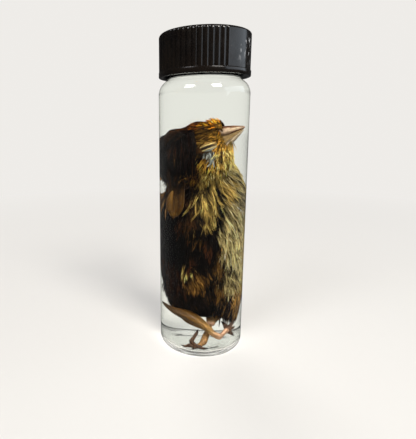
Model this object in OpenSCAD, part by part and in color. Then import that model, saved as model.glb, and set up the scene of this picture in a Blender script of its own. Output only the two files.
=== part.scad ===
// Specimen jar: a screw-capped glass vial that holds a preserved chick in clear fluid.
// Frame: +Z up, origin at the centre of the base's resting plane, the chick's bill towards +X.
// Units: millimetres.

/* [Vial body] */
// Outside diameter of the glass body
body_d = 27.5; // [27:0.5:32]
// Height of the glass from the resting plane to the lip
vial_h = 95; // [88:1:120]
// Thickness of the body wall
wall = 1.25; // [0.9:0.05:1.6]
// Thickness of the base at its edge
base_t = 1.6; // [1.2:0.1:2.4]
// Radius of the rounded heel outside
heel_r = 2.2; // [1.6:0.1:3]
// Radius of the push-up under the base
push_r = 7; // [5:0.5:8]
// Rise of the push-up at its centre
push_up = 0.7; // [0.3:0.1:1]
// Radius of the shoulder's outside curve
shoulder_r = 4.6; // [4:0.1:5.4]

/* [Neck finish] */
// How far the neck is set in from the body's side
neck_step = 3; // [2.8:0.1:3.4]
// Height of the neck from the shoulder to the lip
neck_h = 9; // [8:0.5:11]
// Thickness of the neck's wall
neck_wall = 2.4; // [1.8:0.1:3]
// Rounding of the lip
lip_r = 0.6; // [0.3:0.1:0.9]
// Radius of the hollow curve where the shoulder turns into the neck
neck_fillet = 1; // [0.7:0.1:1.3]
// Height of the neck's screw thread above the neck
thread_h = 1.1; // [0.9:0.05:1.2]

/* [Cap] */
// Clearance between the neck's thread and the cap's bore
thread_clear = 0.25; // [0.15:0.05:0.35]
// How far the cap's band stays inside the glass body's side
cap_inset = 0.05; // [0.05:0.05:0.3]
// Height of the ribs above their foot
rib_h = 0.45; // [0.3:0.05:0.55]
// Number of ribs that would go all the way round
rib_count = 52; // [44:1:60]
// Width of the plain panel that has no ribs, in degrees
panel_angle = 58; // [40:1:80]
// Thickness of the cap's top
cap_top_t = 1.8; // [1.4:0.1:2.4]
// Rounding of the cap's top edge
cap_edge_r = 1.1; // [0.7:0.1:1.4]
// Height of the plain band round the skirt's foot
band_h = 1.6; // [1.2:0.1:2.2]
// How far the band stands out past the ribs
band_step = 0.1; // [0.05:0.05:0.2]
// Length of the skirt below the lip
skirt_drop = 9; // [8.5:0.1:9.4]
// Chamfer inside the skirt's mouth
mouth_chamfer = 0.4; // [0.2:0.1:0.6]

/* [Liner] */
// Thickness of the pulp backing
backing_t = 1; // [0.6:0.1:1.4]
// Thickness of the sealing face
facing_t = 0.2; // [0.1:0.05:0.4]
// Clearance between the liner's edge and the cap's bore
liner_clear = 0.4; // [0.3:0.05:0.6]

/* [Fluid] */
// Height of the air between the fluid's surface and the lip
ullage = 5.5; // [4:0.1:6.4]
// Height of the curved edge where the fluid climbs the glass
meniscus = 1; // [0.6:0.1:1.2]
// Clearance between the fluid and the glass
fluid_clear = 0.03; // [0.02:0.01:0.06]
// Thickness of the free fluid between the soaked down and the glass
film_t = 0.5; // [0.3:0.05:0.7]
// Room for the down over the chick's crown
down_room = 1.6; // [1.2:0.1:2.4]

/* [Chick] */
// Drop from the shoulder's foot to the chick's crown
crown_drop = 7.8; // [6:0.1:14]
// Clearance between the chick's widest girth and the glass
girth_clear = 2.6; // [2.2:0.1:3.4]
// Length of the bill past the forehead
bill_l = 4.4; // [3.5:0.1:5]
// Radius of the eyeball under its lids
eye_r = 2.1; // [1.8:0.1:2.4]
// Radius of a shank
shank_r = 0.75; // [0.6:0.05:0.9]
// Radius of a toe at its root
toe_r = 0.7; // [0.5:0.05:0.75]
// Length of a claw
claw_l = 1.3; // [1:0.1:1.6]

/* [Hidden] */
$fn = 64;
// Name of the one sub-part to draw, or "all"

// Steps in each rounded stretch of a turned outline
arc_steps = 10;
body_r = body_d / 2;
neck_r = body_r - neck_step;
bore_r = neck_r - neck_wall;
inner_r = body_r - wall;
inner_heel = heel_r - 0.2;
// The shoulder is a convex curve that runs into a hollow one at the neck
shoulder_x = body_r - shoulder_r;
shoulder_dx = neck_r + neck_fillet - shoulder_x;
shoulder_dz = sqrt(pow(shoulder_r + neck_fillet, 2) - pow(shoulder_dx, 2));
shoulder_turn = atan2(shoulder_dz, shoulder_dx);
shoulder_z = vial_h - neck_h - shoulder_dz;
// Inside, the same two curves with a larger hollow one under the neck's thicker wall
inner_shoulder = shoulder_r - wall;
inner_fillet = 3;
inner_dx = bore_r + inner_fillet - shoulder_x;
inner_dz = sqrt(pow(inner_shoulder + inner_fillet, 2) - pow(inner_dx, 2));
inner_turn = atan2(inner_dz, inner_dx);

cap_bore_r = neck_r + thread_h + thread_clear;
band_r = body_r - cap_inset;
rib_tip_r = band_r - band_step;
rib_foot_r = rib_tip_r - rib_h;
skirt_mid_r = (cap_bore_r + rib_foot_r) / 2;
cap_bottom = vial_h - skirt_drop;
liner_t = backing_t + facing_t;
cap_top = vial_h + liner_t + cap_top_t;
// A rib is a round bar whose side shows; neighbouring bars meet at the rib's foot
rib_pitch = 360 / rib_count;
rib_half = rib_tip_r * sin(rib_pitch / 2);
rib_r = (rib_half * rib_half + rib_h * rib_h) / (2 * rib_h);
panel_turn = -32;
panel_sink = 0.12;

fluid_z = vial_h - ullage;
fluid_r = inner_r - fluid_clear;
neck_fluid_r = bore_r - fluid_clear;

// The chick stands on the glass floor; its girth follows the bore and its height the shoulder
chick_h = shoulder_z - crown_drop - base_t;
chick_r = inner_r - girth_clear;
// Places on the chick are in hundredths: across, of its girth's radius, and up, of its height
kr = chick_r / 100;
kz = chick_h / 100;
// Share of the coat of down's radius that is left flat over the crown
coat_top = 0.7;
// Bill halves: reach as shares of the bill's length, and their thickness at the root
upper_reach = 1.26;
lower_reach = 1.78;
lower_full = 0.45;
bill_half_w = 15 * kr;
bill_half_h = 2 * kz;
bill_hook = 0.25;
// Eyes: their place on the head, the slope of the closed lids and the groove between them
eye_x = 9;
eye_mid = -11;
eye_out = 48;
eye_z = 89.5;
eye_tilt = 23;
lid_gap = 0.25;
// Sides and in-between rings of a swelling form
form_sides = 20;
form_steps = 3;
limb_sides = 10;
limb_steps = 2;

// Points of a round stretch, from one angle to another
function arc(cx, cz, r, from, to) =
    [for (i = [0 : arc_steps]) let (a = from + (to - from) * i / arc_steps)
        [cx + r * cos(a), cz + r * sin(a)]];

// The shallow dome of the push-up, from its rim to the axis, at a given height
function dome(z, rim, rise) =
    let (r = (rim * rim + rise * rise) / (2 * rise), a = asin(rim / r))
    [for (i = [0 : arc_steps]) let (t = a * (1 - i / arc_steps))
        [r * sin(t), z + rise - r + r * cos(t)]];

function backwards(p) = [for (i = [len(p) - 1 : -1 : 0]) p[i]];

// Inside outline of the glass up to the shoulder's foot, drawn in by a clearance
function hollow(gap) = concat(
    backwards(dome(base_t + gap, push_r, push_up)),
    arc(inner_r - inner_heel, base_t + inner_heel, inner_heel - gap, -90, 0));

// A smooth curve through stations, each a row of the same length
function through(a, b, c, d, t) =
    0.5 * (2 * b + (c - a) * t + (2 * a - 5 * b + 4 * c - d) * t * t
           + (3 * b - a - 3 * c + d) * t * t * t);
function smoothed(s, steps) = let (n = len(s) - 1) concat(
    [for (i = [0 : n - 1], j = [0 : steps - 1])
        through(s[max(i - 1, 0)], s[i], s[i + 1], s[min(i + 2, n)], j / steps)],
    [s[n]]);
function unit(v) = v / norm(v);
function place(s) = [s[0], s[1], s[2]];

// A form that swells and tapers along its stations [x, y, z, half width, half depth].
// The width lies along the side direction as far as the run of the stations lets it.
module swelling(stations, side, sides, steps) {
    s = smoothed(stations, steps);
    n = len(s);
    rings = [for (i = [0 : n - 1])
        let (run = unit(place(s[min(i + 1, n - 1)]) - place(s[max(i - 1, 0)])),
             w = unit(side - run * (side * run)),
             d = cross(run, w))
        for (j = [0 : sides - 1])
            let (a = 360 * j / sides)
            place(s[i]) + w * (s[i][3] * cos(a)) + d * (s[i][4] * sin(a))];
    skin = [for (i = [0 : n - 2], j = [0 : sides - 1])
        let (k = (j + 1) % sides, p = i * sides, q = p + sides)
        each [[p + j, q + k, p + k], [p + j, q + j, q + k]]];
    first = [for (j = [0 : sides - 1]) [n * sides, j, (j + 1) % sides]];
    last = [for (j = [0 : sides - 1])
        [n * sides + 1, (n - 1) * sides + (j + 1) % sides, (n - 1) * sides + j]];
    polyhedron(points = concat(rings, [place(s[0]), place(s[n - 1])]),
               faces = concat(skin, first, last));
}

// A station of the chick, in hundredths of its girth and height
function at(x, y, z, a, b) = [x * kr, y * kr, base_t + z * kz, a * kr, b * kr];
// A place on the chick
function spot(p) = [p[0] * kr, p[1] * kr, base_t + p[2] * kz];
// A station of a limb, whose thickness is a size of its own
function limb(x, y, z, r) = [x * kr, y * kr, base_t + z * kz, r, r];

// Glass body: one turned outline, base to lip outside and back down inside
module glass_vial() {
    outside = concat(
        backwards(dome(0, push_r, push_up)),
        arc(body_r - heel_r, heel_r, heel_r, -90, 0),
        arc(shoulder_x, shoulder_z, shoulder_r, 0, shoulder_turn),
        arc(neck_r + neck_fillet, shoulder_z + shoulder_dz, neck_fillet, 180 + shoulder_turn, 180),
        arc(neck_r - lip_r, vial_h - lip_r, lip_r, 0, 90));
    inside = concat(
        hollow(0),
        arc(shoulder_x, shoulder_z, inner_shoulder, 0, inner_turn),
        arc(bore_r + inner_fillet, shoulder_z + inner_dz, inner_fillet, 180 + inner_turn, 180),
        arc(bore_r + lip_r, vial_h - lip_r, lip_r, 180, 90));
    color([0.86, 0.92, 0.89, 0.35])
        rotate_extrude()
            polygon(concat(outside, backwards(inside)));
}

// Outline of the skirt seen from above: ribs side by side, with one plain panel
module skirt_outline() {
    circle(r = rib_foot_r);
    for (i = [0 : rib_count - 1])
        if (i * rib_pitch > panel_angle)
            rotate(panel_turn - panel_angle / 2 + i * rib_pitch)
                translate([rib_tip_r - rib_r, 0])
                    circle(r = rib_r);
    intersection() {
        circle(r = rib_tip_r - panel_sink);
        rotate(panel_turn)
            polygon([[0, 0],
                     [2 * body_r, -2 * body_r * tan(panel_angle / 2)],
                     [2 * body_r, 2 * body_r * tan(panel_angle / 2)]]);
    }
}

// Closure: ribbed skirt with a rounded top edge, a plain band at its foot and a stepped bore
module screw_cap() {
    edge = concat(
        [[0, cap_bottom], [rib_tip_r, cap_bottom]],
        arc(rib_tip_r - cap_edge_r, cap_top - cap_edge_r, cap_edge_r, 0, 90),
        [[0, cap_top]]);
    band = [[skirt_mid_r, cap_bottom],
            [band_r - band_step, cap_bottom],
            [band_r, cap_bottom + band_step],
            [band_r, cap_bottom + band_h - band_step],
            [band_r - band_step, cap_bottom + band_h],
            [skirt_mid_r, cap_bottom + band_h]];
    bore = [[0, cap_bottom - 1],
            [cap_bore_r + mouth_chamfer + 1, cap_bottom - 1],
            [cap_bore_r, cap_bottom + mouth_chamfer],
            [cap_bore_r, vial_h + liner_t],
            [0, vial_h + liner_t]];
    color([0.05, 0.05, 0.055])
        difference() {
            union() {
                intersection() {
                    translate([0, 0, cap_bottom])
                        linear_extrude(cap_top - cap_bottom)
                            skirt_outline();
                    rotate_extrude()
                        polygon(edge);
                }
                rotate_extrude()
                    polygon(band);
            }
            rotate_extrude()
                polygon(bore);
        }
}

// Pulp disc that backs the liner
module liner_backing() {
    color([0.78, 0.7, 0.56])
        translate([0, 0, vial_h + facing_t])
            cylinder(r = cap_bore_r - liner_clear, h = backing_t);
}

// Thin sealing face that lies on the lip
module liner_facing() {
    color([0.93, 0.93, 0.91])
        translate([0, 0, vial_h])
            cylinder(r = cap_bore_r - liner_clear, h = facing_t);
}

// Free fluid: a film between the soaked down and the glass, closed over the crown and full to the neck
module preservative_fluid() {
    coat_r = fluid_r - film_t;
    crown_z = base_t + chick_h;
    coat = [[coat_r, base_t + inner_heel],
            [coat_r, crown_z],
            [coat_r * coat_top, crown_z + down_room],
            [0, crown_z + down_room]];
    surface = concat(
        [[0, fluid_z]],
        arc(neck_fluid_r - meniscus, fluid_z + meniscus, meniscus, -90, 0));
    throat = concat(
        arc(bore_r + inner_fillet, shoulder_z + inner_dz, inner_fillet + fluid_clear, 180, 180 + inner_turn),
        arc(shoulder_x, shoulder_z, inner_shoulder - fluid_clear, inner_turn, 0));
    color([0.9, 0.88, 0.78, 0.3])
        rotate_extrude()
            polygon(concat(coat, surface, throat, [[fluid_r, base_t + inner_heel]]));
}

// Trunk without its limbs: vent, belly, breast and the root of the neck
module trunk_form() {
    swelling([at(9, -4, 15.3, 42, 40), at(9, -5, 16.6, 70, 64),
              at(9, -1, 20, 81, 75), at(7, 3, 26, 90, 82),
              at(3, 3, 36, 98, 88), at(2, 3, 50, 99, 90),
              at(7, 4, 63, 96, 84), at(13, 6, 71, 87, 69),
              at(18, 9, 77, 65, 53), at(16, 6, 83, 44, 40),
              at(12, 0, 88, 12, 12)],
             [1, 0, 0], form_sides, form_steps);
}

module trunk() {
    color([0.2, 0.13, 0.07])
        trunk_form();
}

// Head with full cheeks and throat, from the breast to the crown
module head_form() {
    swelling([at(6, -20, 72.5, 14, 14), at(6, -22, 75.5, 43, 45),
              at(5, -22, 79.5, 56, 61), at(6, -16, 84, 63, 65),
              at(1, -12, 87, 58, 65), at(-4, -8, 91, 53, 62),
              at(0, -6, 95.5, 46, 54), at(12, -5, 98.2, 30, 35),
              at(18, -5, 99.6, 9, 9)],
             [1, 0, 0], form_sides, form_steps);
}

module head() {
    color([0.6, 0.4, 0.15])
        difference() {
            head_form();
            trunk_form();
        }
}

// A bill half: a tapering horn from its root, with its tip bent a little down; a full one stays
// deep towards its tip
module bill_form(root, heading, length, half_w, half_h, hook, full) {
    run = unit(heading);
    function along(t, w, h) = concat(
        root + run * (t * length) - [0, 0, hook * t * t * t],
        [w * half_w, h * half_h * (1 + 4 * full * max(t, 0) * (1 - t))]);
    swelling([along(-0.2, 0.7, 0.7), along(0.05, 1, 1), along(0.4, 0.86, 0.8),
              along(0.72, 0.52, 0.5), along(0.93, 0.24, 0.28), along(1, 0.06, 0.1)],
             [0, 1, 0], limb_sides + 2, limb_steps);
}

module upper_bill_form() {
    bill_form(spot([44, -5, 95.8]), [50.5 * kr, 0, 1.9 * kz],
              bill_l * upper_reach, bill_half_w, bill_half_h, bill_hook, 0);
}

module lower_bill_form() {
    bill_form(spot([44, -5, 88.4]), [51 * kr, 0, 8.2 * kz],
              bill_l * lower_reach, bill_half_w * 1.2, bill_half_h * 0.4, 0, lower_full);
}

// Upper half of the bill, cut by the head
module upper_bill() {
    color([0.5, 0.4, 0.32])
        difference() {
            upper_bill_form();
            head_form();
        }
}

// Lower half of the bill, cut by the head and the upper half
module lower_bill() {
    color([0.66, 0.56, 0.48])
        difference() {
            lower_bill_form();
            head_form();
            upper_bill_form();
        }
}

// Closed lids over an eyeball: a ball let into the head, with a groove where the lids meet
module eyelids(side) {
    color([0.6, 0.55, 0.45])
        difference() {
            translate([eye_x * kr, (eye_mid + side * eye_out) * kr, base_t + eye_z * kz])
                rotate([0, -eye_tilt, 0])
                    difference() {
                        sphere(r = eye_r, $fn = 40);
                        difference() {
                            cylinder(r = 2 * eye_r, h = lid_gap, center = true);
                            cylinder(r = eye_r - lid_gap, h = 2 * lid_gap, center = true);
                        }
                    }
            head_form();
        }
}

module near_eyelids() {
    eyelids(-1);
}

module far_eyelids() {
    eyelids(1);
}

// Folded wing that lies along the back, from the nape to the lobe of its pinion
module wing_form(side, lift, tuck) {
    out = tuck / 4;
    swelling([at(-64, side * 34, 96.6 + lift, 8, 5), at(-70, side * 38, 94.6 + lift, 26, 16),
              at(-76, side * 46, 89.4 + lift, 36, 22), at(tuck / 2 - 73, side * 50, 83 + lift, 34, 21),
              at(tuck - 68, side * (54 + out), 77 + lift, 28, 18),
              at(tuck - 70, side * (61 + out), 70.5 + lift, 29, 15),
              at(tuck - 74, side * (66 + out), 65.5 + lift, 32, 13),
              at(tuck - 79, side * (67 + out), 61.8 + lift, 20, 9),
              at(tuck - 81, side * (67 + out), 59.8 + lift, 5, 4)],
             [0.67, side * 0.74, 0], limb_sides + 4, limb_steps);
}

// Smaller lobe that lies on the pinion, the thumb of the wing
module thumb_form(side, lift, tuck) {
    out = tuck / 4;
    swelling([at(tuck - 82, side * (70 + out), 71.5 + lift, 3, 3),
              at(tuck - 87, side * (65 + out), 69 + lift, 9, 6),
              at(tuck - 90, side * (62 + out), 66 + lift, 15, 7),
              at(tuck - 90, side * (62 + out), 63.2 + lift, 13, 6),
              at(tuck - 88, side * (64 + out), 61.6 + lift, 4, 3)],
             [0.67, side * 0.74, 0], limb_sides, limb_steps);
}

// Wing with its lobes, cut by the trunk and the head
module wing(side, lift, tuck) {
    color([0.16, 0.1, 0.05])
        difference() {
            union() {
                wing_form(side, lift, tuck);
                thumb_form(side, lift, tuck);
            }
            trunk_form();
            head_form();
        }
}

module near_wing() {
    wing(-1, 0, 0);
}

module far_wing() {
    wing(1, -2, 16);
}

// Drumsticks: thick at the knee, thin above the hock and knobbed at it
module near_drumstick_form() {
    swelling([at(-108, -16, 17.2, 3, 3), at(-99, -28, 17, 7, 7),
              at(-73, -52, 16, 11.5, 11.5), at(-48, -60, 15.3, 16.5, 16.5),
              at(-28, -63, 14, 20.5, 20.5), at(-1, -67, 11.7, 16, 16),
              at(19, -72, 9.7, 11, 11), at(35, -77, 7.3, 9, 9),
              at(54, -80, 5.9, 10.5, 10.5), at(61, -81, 5.7, 7, 7),
              at(64, -81, 5.7, 2, 2)],
             [0, 0, 1], limb_sides + 2, limb_steps);
}

module far_drumstick_form() {
    swelling([at(52, 26, 18.5, 9, 9), at(46, 14, 17, 21, 21),
              at(40, -4, 15, 24, 24), at(32, -22, 12.9, 19, 19),
              at(28, -36, 11.2, 13, 13), at(26, -44, 10.2, 11.5, 11.5),
              at(25, -48, 9.6, 3, 3)],
             [0, 0, 1], limb_sides + 2, limb_steps);
}

module near_drumstick() {
    color([0.6, 0.42, 0.2])
        difference() {
            near_drumstick_form();
            trunk_form();
        }
}

module far_drumstick() {
    color([0.66, 0.5, 0.3])
        difference() {
            far_drumstick_form();
            trunk_form();
        }
}

// Shanks, cut by the knob of the hock
module near_shank_form() {
    swelling([limb(55, -80, 5.7, shank_r * 0.6), limb(60, -72, 6.1, shank_r),
              limb(66, -60, 6.7, shank_r), limb(71, -49, 7.2, shank_r * 1.15),
              limb(72, -45, 7.4, shank_r * 0.4)],
             [0, 0, 1], limb_sides, limb_steps);
}

module far_shank_form() {
    swelling([limb(26, -44, 10.2, shank_r * 0.6), limb(22, -50, 7.6, shank_r * 1.1),
              limb(15, -62, 5.2, shank_r * 1.25), limb(8, -83, 3, shank_r * 1.3),
              limb(-8, -94, 2.1, shank_r * 0.4)],
             [0, 0, 1], limb_sides, limb_steps);
}

module near_shank() {
    color([0.68, 0.48, 0.38])
        difference() {
            near_shank_form();
            near_drumstick_form();
        }
}

module far_shank() {
    color([0.55, 0.36, 0.26])
        difference() {
            far_shank_form();
            far_drumstick_form();
        }
}

// A toe from the foot's joint over its knuckle to the root of its claw
module toe_form(joint, knuckle, root) {
    function bead(p, r) = limb(p[0], p[1], p[2], r);
    swelling([bead(joint, toe_r * 1.1), bead((joint + knuckle) / 2, toe_r * 0.9), bead(knuckle, toe_r),
              bead((knuckle + root) / 2, toe_r * 0.75), bead(root, toe_r * 0.7)],
             [0, 0.3, 1], limb_sides - 2, limb_steps);
}

// A claw that goes on from its toe, tapering to a point
module claw_form(knuckle, root, bend) {
    run = unit(unit(spot(root) - spot(knuckle)) + bend);
    function bead(t, r) = concat(
        spot(root) + run * (t * claw_l) + bend * (t * t * claw_l / 4),
        [r * toe_r, r * toe_r]);
    swelling([bead(-0.15, 0.5), bead(0.15, 0.58), bead(0.6, 0.34), bead(1, 0.08)],
             [0, 0.3, 1], limb_sides - 4, limb_steps);
}

// Each foot: its joint, the knuckles and claw roots of its toes, and the way its claws bend
function near_joint() = [72, -46, 7.3];
function near_knuckles() = [[81, -39, 7.4], [78, -33, 8.4], [81, -44, 5.8], [67, -38, 8.6]];
function near_roots() = [[88, -31, 7.2], [84, -22, 9.4], [88, -43, 4.8], [61, -29, 9.6]];
function near_bend() = [-0.35, 0.1, 0.2];
function far_joint() = [-14, -94, 2];
function far_knuckles() = [[-31, -92, 1.6], [-15, -99, 1.4], [0, -98, 1.5], [-25, -93, 3.8]];
function far_roots() = [[-44, -90, 0.8], [-17, -102, 1], [10, -102, 0.9], [-10, -83, 7.6]];
function far_bend() = [0, 0, 0.5];

module foot_form(joint, knuckles, roots) {
    for (i = [0 : len(roots) - 1])
        toe_form(joint, knuckles[i], roots[i]);
}

module near_foot() {
    color([0.72, 0.54, 0.45])
        difference() {
            foot_form(near_joint(), near_knuckles(), near_roots());
            near_shank_form();
        }
}

module far_foot() {
    color([0.58, 0.4, 0.3])
        difference() {
            foot_form(far_joint(), far_knuckles(), far_roots());
            far_shank_form();
        }
}

module near_claws() {
    color([0.32, 0.24, 0.18])
        difference() {
            for (i = [0 : len(near_roots()) - 1])
                claw_form(near_knuckles()[i], near_roots()[i], near_bend());
            foot_form(near_joint(), near_knuckles(), near_roots());
        }
}

module far_claws() {
    color([0.32, 0.24, 0.18])
        difference() {
            for (i = [0 : len(far_roots()) - 1])
                claw_form(far_knuckles()[i], far_roots()[i], far_bend());
            foot_form(far_joint(), far_knuckles(), far_roots());
        }
}

glass_vial();
screw_cap();
liner_backing();
liner_facing();
preservative_fluid();
trunk();
head();
upper_bill();
lower_bill();
near_eyelids();
far_eyelids();
near_wing();
far_wing();
near_drumstick();
far_drumstick();
near_shank();
far_shank();
near_foot();
far_foot();
near_claws();
far_claws();
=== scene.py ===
# %% [markdown]
# # A specimen jar
# A small preserved chick stands in clear fluid in a screw-cap glass vial. The solids come from the
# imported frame, and this lesson gives them their looks: turned glass, a moulded cap, the fluid with
# its curved edge, and the soaked down of the bird. Lengths below are in millimetres, times MM.

# %% Setup
import math

import bmesh
import bpy
import numpy as np
from mathutils import Matrix, Vector
from mathutils.bvhtree import BVHTree


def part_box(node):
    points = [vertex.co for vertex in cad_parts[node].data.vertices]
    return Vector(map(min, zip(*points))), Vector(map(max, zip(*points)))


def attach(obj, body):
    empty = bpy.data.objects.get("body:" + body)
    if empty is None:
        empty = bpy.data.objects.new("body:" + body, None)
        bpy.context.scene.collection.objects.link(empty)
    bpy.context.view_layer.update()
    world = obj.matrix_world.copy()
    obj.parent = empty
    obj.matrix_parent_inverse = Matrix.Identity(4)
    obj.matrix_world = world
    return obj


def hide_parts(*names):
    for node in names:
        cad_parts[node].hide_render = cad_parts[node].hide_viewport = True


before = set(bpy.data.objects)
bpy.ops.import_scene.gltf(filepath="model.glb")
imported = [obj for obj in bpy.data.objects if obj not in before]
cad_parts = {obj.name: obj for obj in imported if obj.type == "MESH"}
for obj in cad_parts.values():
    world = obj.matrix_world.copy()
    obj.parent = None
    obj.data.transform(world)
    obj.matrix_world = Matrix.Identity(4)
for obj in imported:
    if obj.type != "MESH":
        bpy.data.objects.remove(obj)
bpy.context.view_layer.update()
MM = 0.001
scene = bpy.context.scene
scene.view_settings.view_transform = "Standard"

# %% [markdown]
# ## Sizes that the looks share
# The boxes of the solids give the jar's radius and height, the cap and the liner. The wall, the heel,
# the curves of the shoulder and the fill are repeated from the design, because a box does not show
# them.

# %% Sizes of the jar
BODY_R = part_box("glass_vial")[1].x / MM
VIAL_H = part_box("glass_vial")[1].z / MM
CAP_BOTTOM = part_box("screw_cap")[0].z / MM
CAP_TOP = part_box("screw_cap")[1].z / MM
BAND_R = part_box("screw_cap")[1].x / MM
LINER_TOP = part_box("liner_backing")[1].z / MM
WALL, BASE_T, HEEL_R = 1.25, 1.6, 2.2
INNER_HEEL = HEEL_R - 0.2
PUSH_R, PUSH_UP = 7.0, 0.7
SHOULDER_R, NECK_R, BORE_R, LIP_R = 4.6, 10.75, 8.35, 0.6
NECK_H, NECK_FILLET, INNER_FILLET = 9.0, 1.0, 3.0
INNER_R = BODY_R - WALL
SHOULDER_X = BODY_R - SHOULDER_R
SHOULDER_DX = NECK_R + NECK_FILLET - SHOULDER_X
SHOULDER_DZ = math.sqrt((SHOULDER_R + NECK_FILLET) ** 2 - SHOULDER_DX ** 2)
SHOULDER_Z = VIAL_H - NECK_H - SHOULDER_DZ
ULLAGE, MENISCUS = 5.5, 1.0
FLUID_Z = VIAL_H - ULLAGE
print("body radius", BODY_R, "vial", VIAL_H, "cap", CAP_BOTTOM, CAP_TOP, "shoulder", round(SHOULDER_Z, 2))

# %% [markdown]
# ## Turning
# Glass, fluid and cap are round about one axis, so each starts as half an outline of vertices that
# the spin operator turns through a full circle. An arc helper keeps the outlines smooth. Edges that
# meet at a real corner are marked sharp, and the rest shade smooth.

# %% Helpers for turned pieces
def arc(cx, cz, r, start, end, steps=12):
    """Points on an arc, from one angle to another, in degrees"""
    turns = [math.radians(start + (end - start) * i / steps) for i in range(steps + 1)]
    return [(cx + r * math.cos(t), cz + r * math.sin(t)) for t in turns]


def dome(z, rim, rise, steps=8):
    """The shallow push-up of the base, from the axis out to its rim"""
    r = (rim * rim + rise * rise) / (2 * rise)
    top = math.asin(rim / r)
    turns = [top * i / steps for i in range(steps + 1)]
    return [(r * math.sin(t), z + rise - r + r * math.cos(t)) for t in turns]


def straight(p, q, steps):
    """Points along a line without its last one, for rows that are moved later"""
    return [(p[0] + (q[0] - p[0]) * i / steps, p[1] + (q[1] - p[1]) * i / steps) for i in range(steps)]


def turned(outline, steps=144):
    """A bmesh spun from an outline that starts and ends on the axis"""
    bm = bmesh.new()
    verts = [bm.verts.new((r * MM, 0, z * MM)) for r, z in outline]
    edges = [bm.edges.new(pair) for pair in zip(verts, verts[1:])]
    bmesh.ops.spin(bm, geom=verts + edges, cent=(0, 0, 0), axis=(0, 0, 1),
                   angle=2 * math.pi, steps=steps, use_merge=True)
    bmesh.ops.remove_doubles(bm, verts=bm.verts, dist=1e-7)
    bmesh.ops.recalc_face_normals(bm, faces=bm.faces)
    return bm


def piece(name, bm, material, body="jar", stands_for=(), sharp=35):
    """Turns a bmesh into a finished piece that rides on a body"""
    for face in bm.faces:
        face.smooth = True
    for edge in bm.edges:
        if len(edge.link_faces) == 2 and edge.calc_face_angle(0) > math.radians(sharp):
            edge.smooth = False
    mesh = bpy.data.meshes.new(name)
    bm.to_mesh(mesh)
    bm.free()
    obj = bpy.data.objects.new(name, mesh)
    scene.collection.objects.link(obj)
    mesh.materials.append(material)
    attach(obj, body)
    if stands_for:
        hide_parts(*stands_for)
    print(name, len(mesh.vertices), "vertices", len(mesh.polygons), "faces")

# %% [markdown]
# ## Glass and fluid
# Both are clear. A clear shader that bends light also throws noisy patches of light, so shadow rays
# pass straight through: the lamps then reach the bird inside. The fluid bends light less than glass.
# Glass that fluid wets mirrors next to nothing, so its faces mirror nothing where they are met from
# inside.

# %% Clear materials
def ramp(nodes, links, source, stops):
    """A colour ramp fed by a value"""
    node = nodes.new("ShaderNodeValToRGB")
    links.new(source, node.inputs[0])
    while len(node.color_ramp.elements) < len(stops):
        node.color_ramp.elements.new(0.5)
    for element, (place, colour) in zip(node.color_ramp.elements, stops):
        element.position = place
        element.color = (*colour, 1) if len(colour) == 3 else (colour[0],) * 3 + (1,)
    return node


def crossed(nodes, links, share, first, second, out):
    """Two shaders crossed by a share, from the first to the second, and led to an output"""
    mix = nodes.new("ShaderNodeMixShader")
    for value, socket in zip((share, first.outputs[0], second.outputs[0]), mix.inputs):
        links.new(value, socket)
    links.new(mix.outputs[0], out.inputs["Surface"])


def clear(name, colour, ior, front=1.0, inside=1.0):
    """A clear material that lets the lamps through; wetted faces, met from inside, mirror less"""
    material = bpy.data.materials.new(name)
    material.use_nodes = True
    nodes, links = material.node_tree.nodes, material.node_tree.links
    nodes.clear()
    body = nodes.new("ShaderNodeBsdfPrincipled")
    body.inputs["Base Color"].default_value = (*colour, 1)
    body.inputs["Roughness"].default_value = 0.0
    body.inputs["IOR"].default_value = ior
    body.inputs["Transmission Weight"].default_value = 1.0
    body.inputs["Specular Tint"].default_value = (front, front, front, 1)
    if inside != front:
        side = nodes.new("ShaderNodeNewGeometry").outputs["Backfacing"]
        mirror = ramp(nodes, links, side, [(0, (front,)), (1, (inside,))])
        links.new(mirror.outputs["Color"], body.inputs["Specular Tint"])
    through = nodes.new("ShaderNodeBsdfTransparent")
    shadow = nodes.new("ShaderNodeLightPath").outputs["Is Shadow Ray"]
    crossed(nodes, links, shadow, body, through, nodes.new("ShaderNodeOutputMaterial"))
    return material


glass = clear("clear_glass", (0.97, 0.99, 0.975), 1.52, inside=0.0)
fluid = clear("preservative_fluid", (1.0, 0.995, 0.97), 1.365, front=0.0, inside=0.0)
print("materials", glass.name, fluid.name)

# %% [markdown]
# ## The vial
# One outline runs from the axis under the base, round the heel, up the wall and over the lip, and
# back down inside. The rows on the neck are close together, because the screw thread is raised from
# them afterwards: a bead that climbs one pitch in each turn and fades at both ends.

# %% Turn the vial
THREAD_PITCH, RUN_OUT = 3.175, 0.08
THREAD_FOOT, THREAD_TURNS, THREAD_H = 88.6, 1.4, 1.05


def helix_bead(turn, z, foot, turns, half_width):
    """How far a screw thread stands up, from 0 to 1, at an angle and a height"""
    best = 0.0
    for lap in range(-1, int(turns) + 2):
        t = turn / (2 * math.pi) + lap
        if -RUN_OUT <= t <= turns + RUN_OUT:
            fade = min(1.0, max(0.0, (min(t, turns - t) + RUN_OUT) / (1.5 * RUN_OUT)))
            away = abs(z - foot - THREAD_PITCH * t) / half_width
            best = max(best, fade * min(1.0, max(0.0, (1.0 - away) * 2.2)))
    return best * best * (3 - 2 * best)


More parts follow.
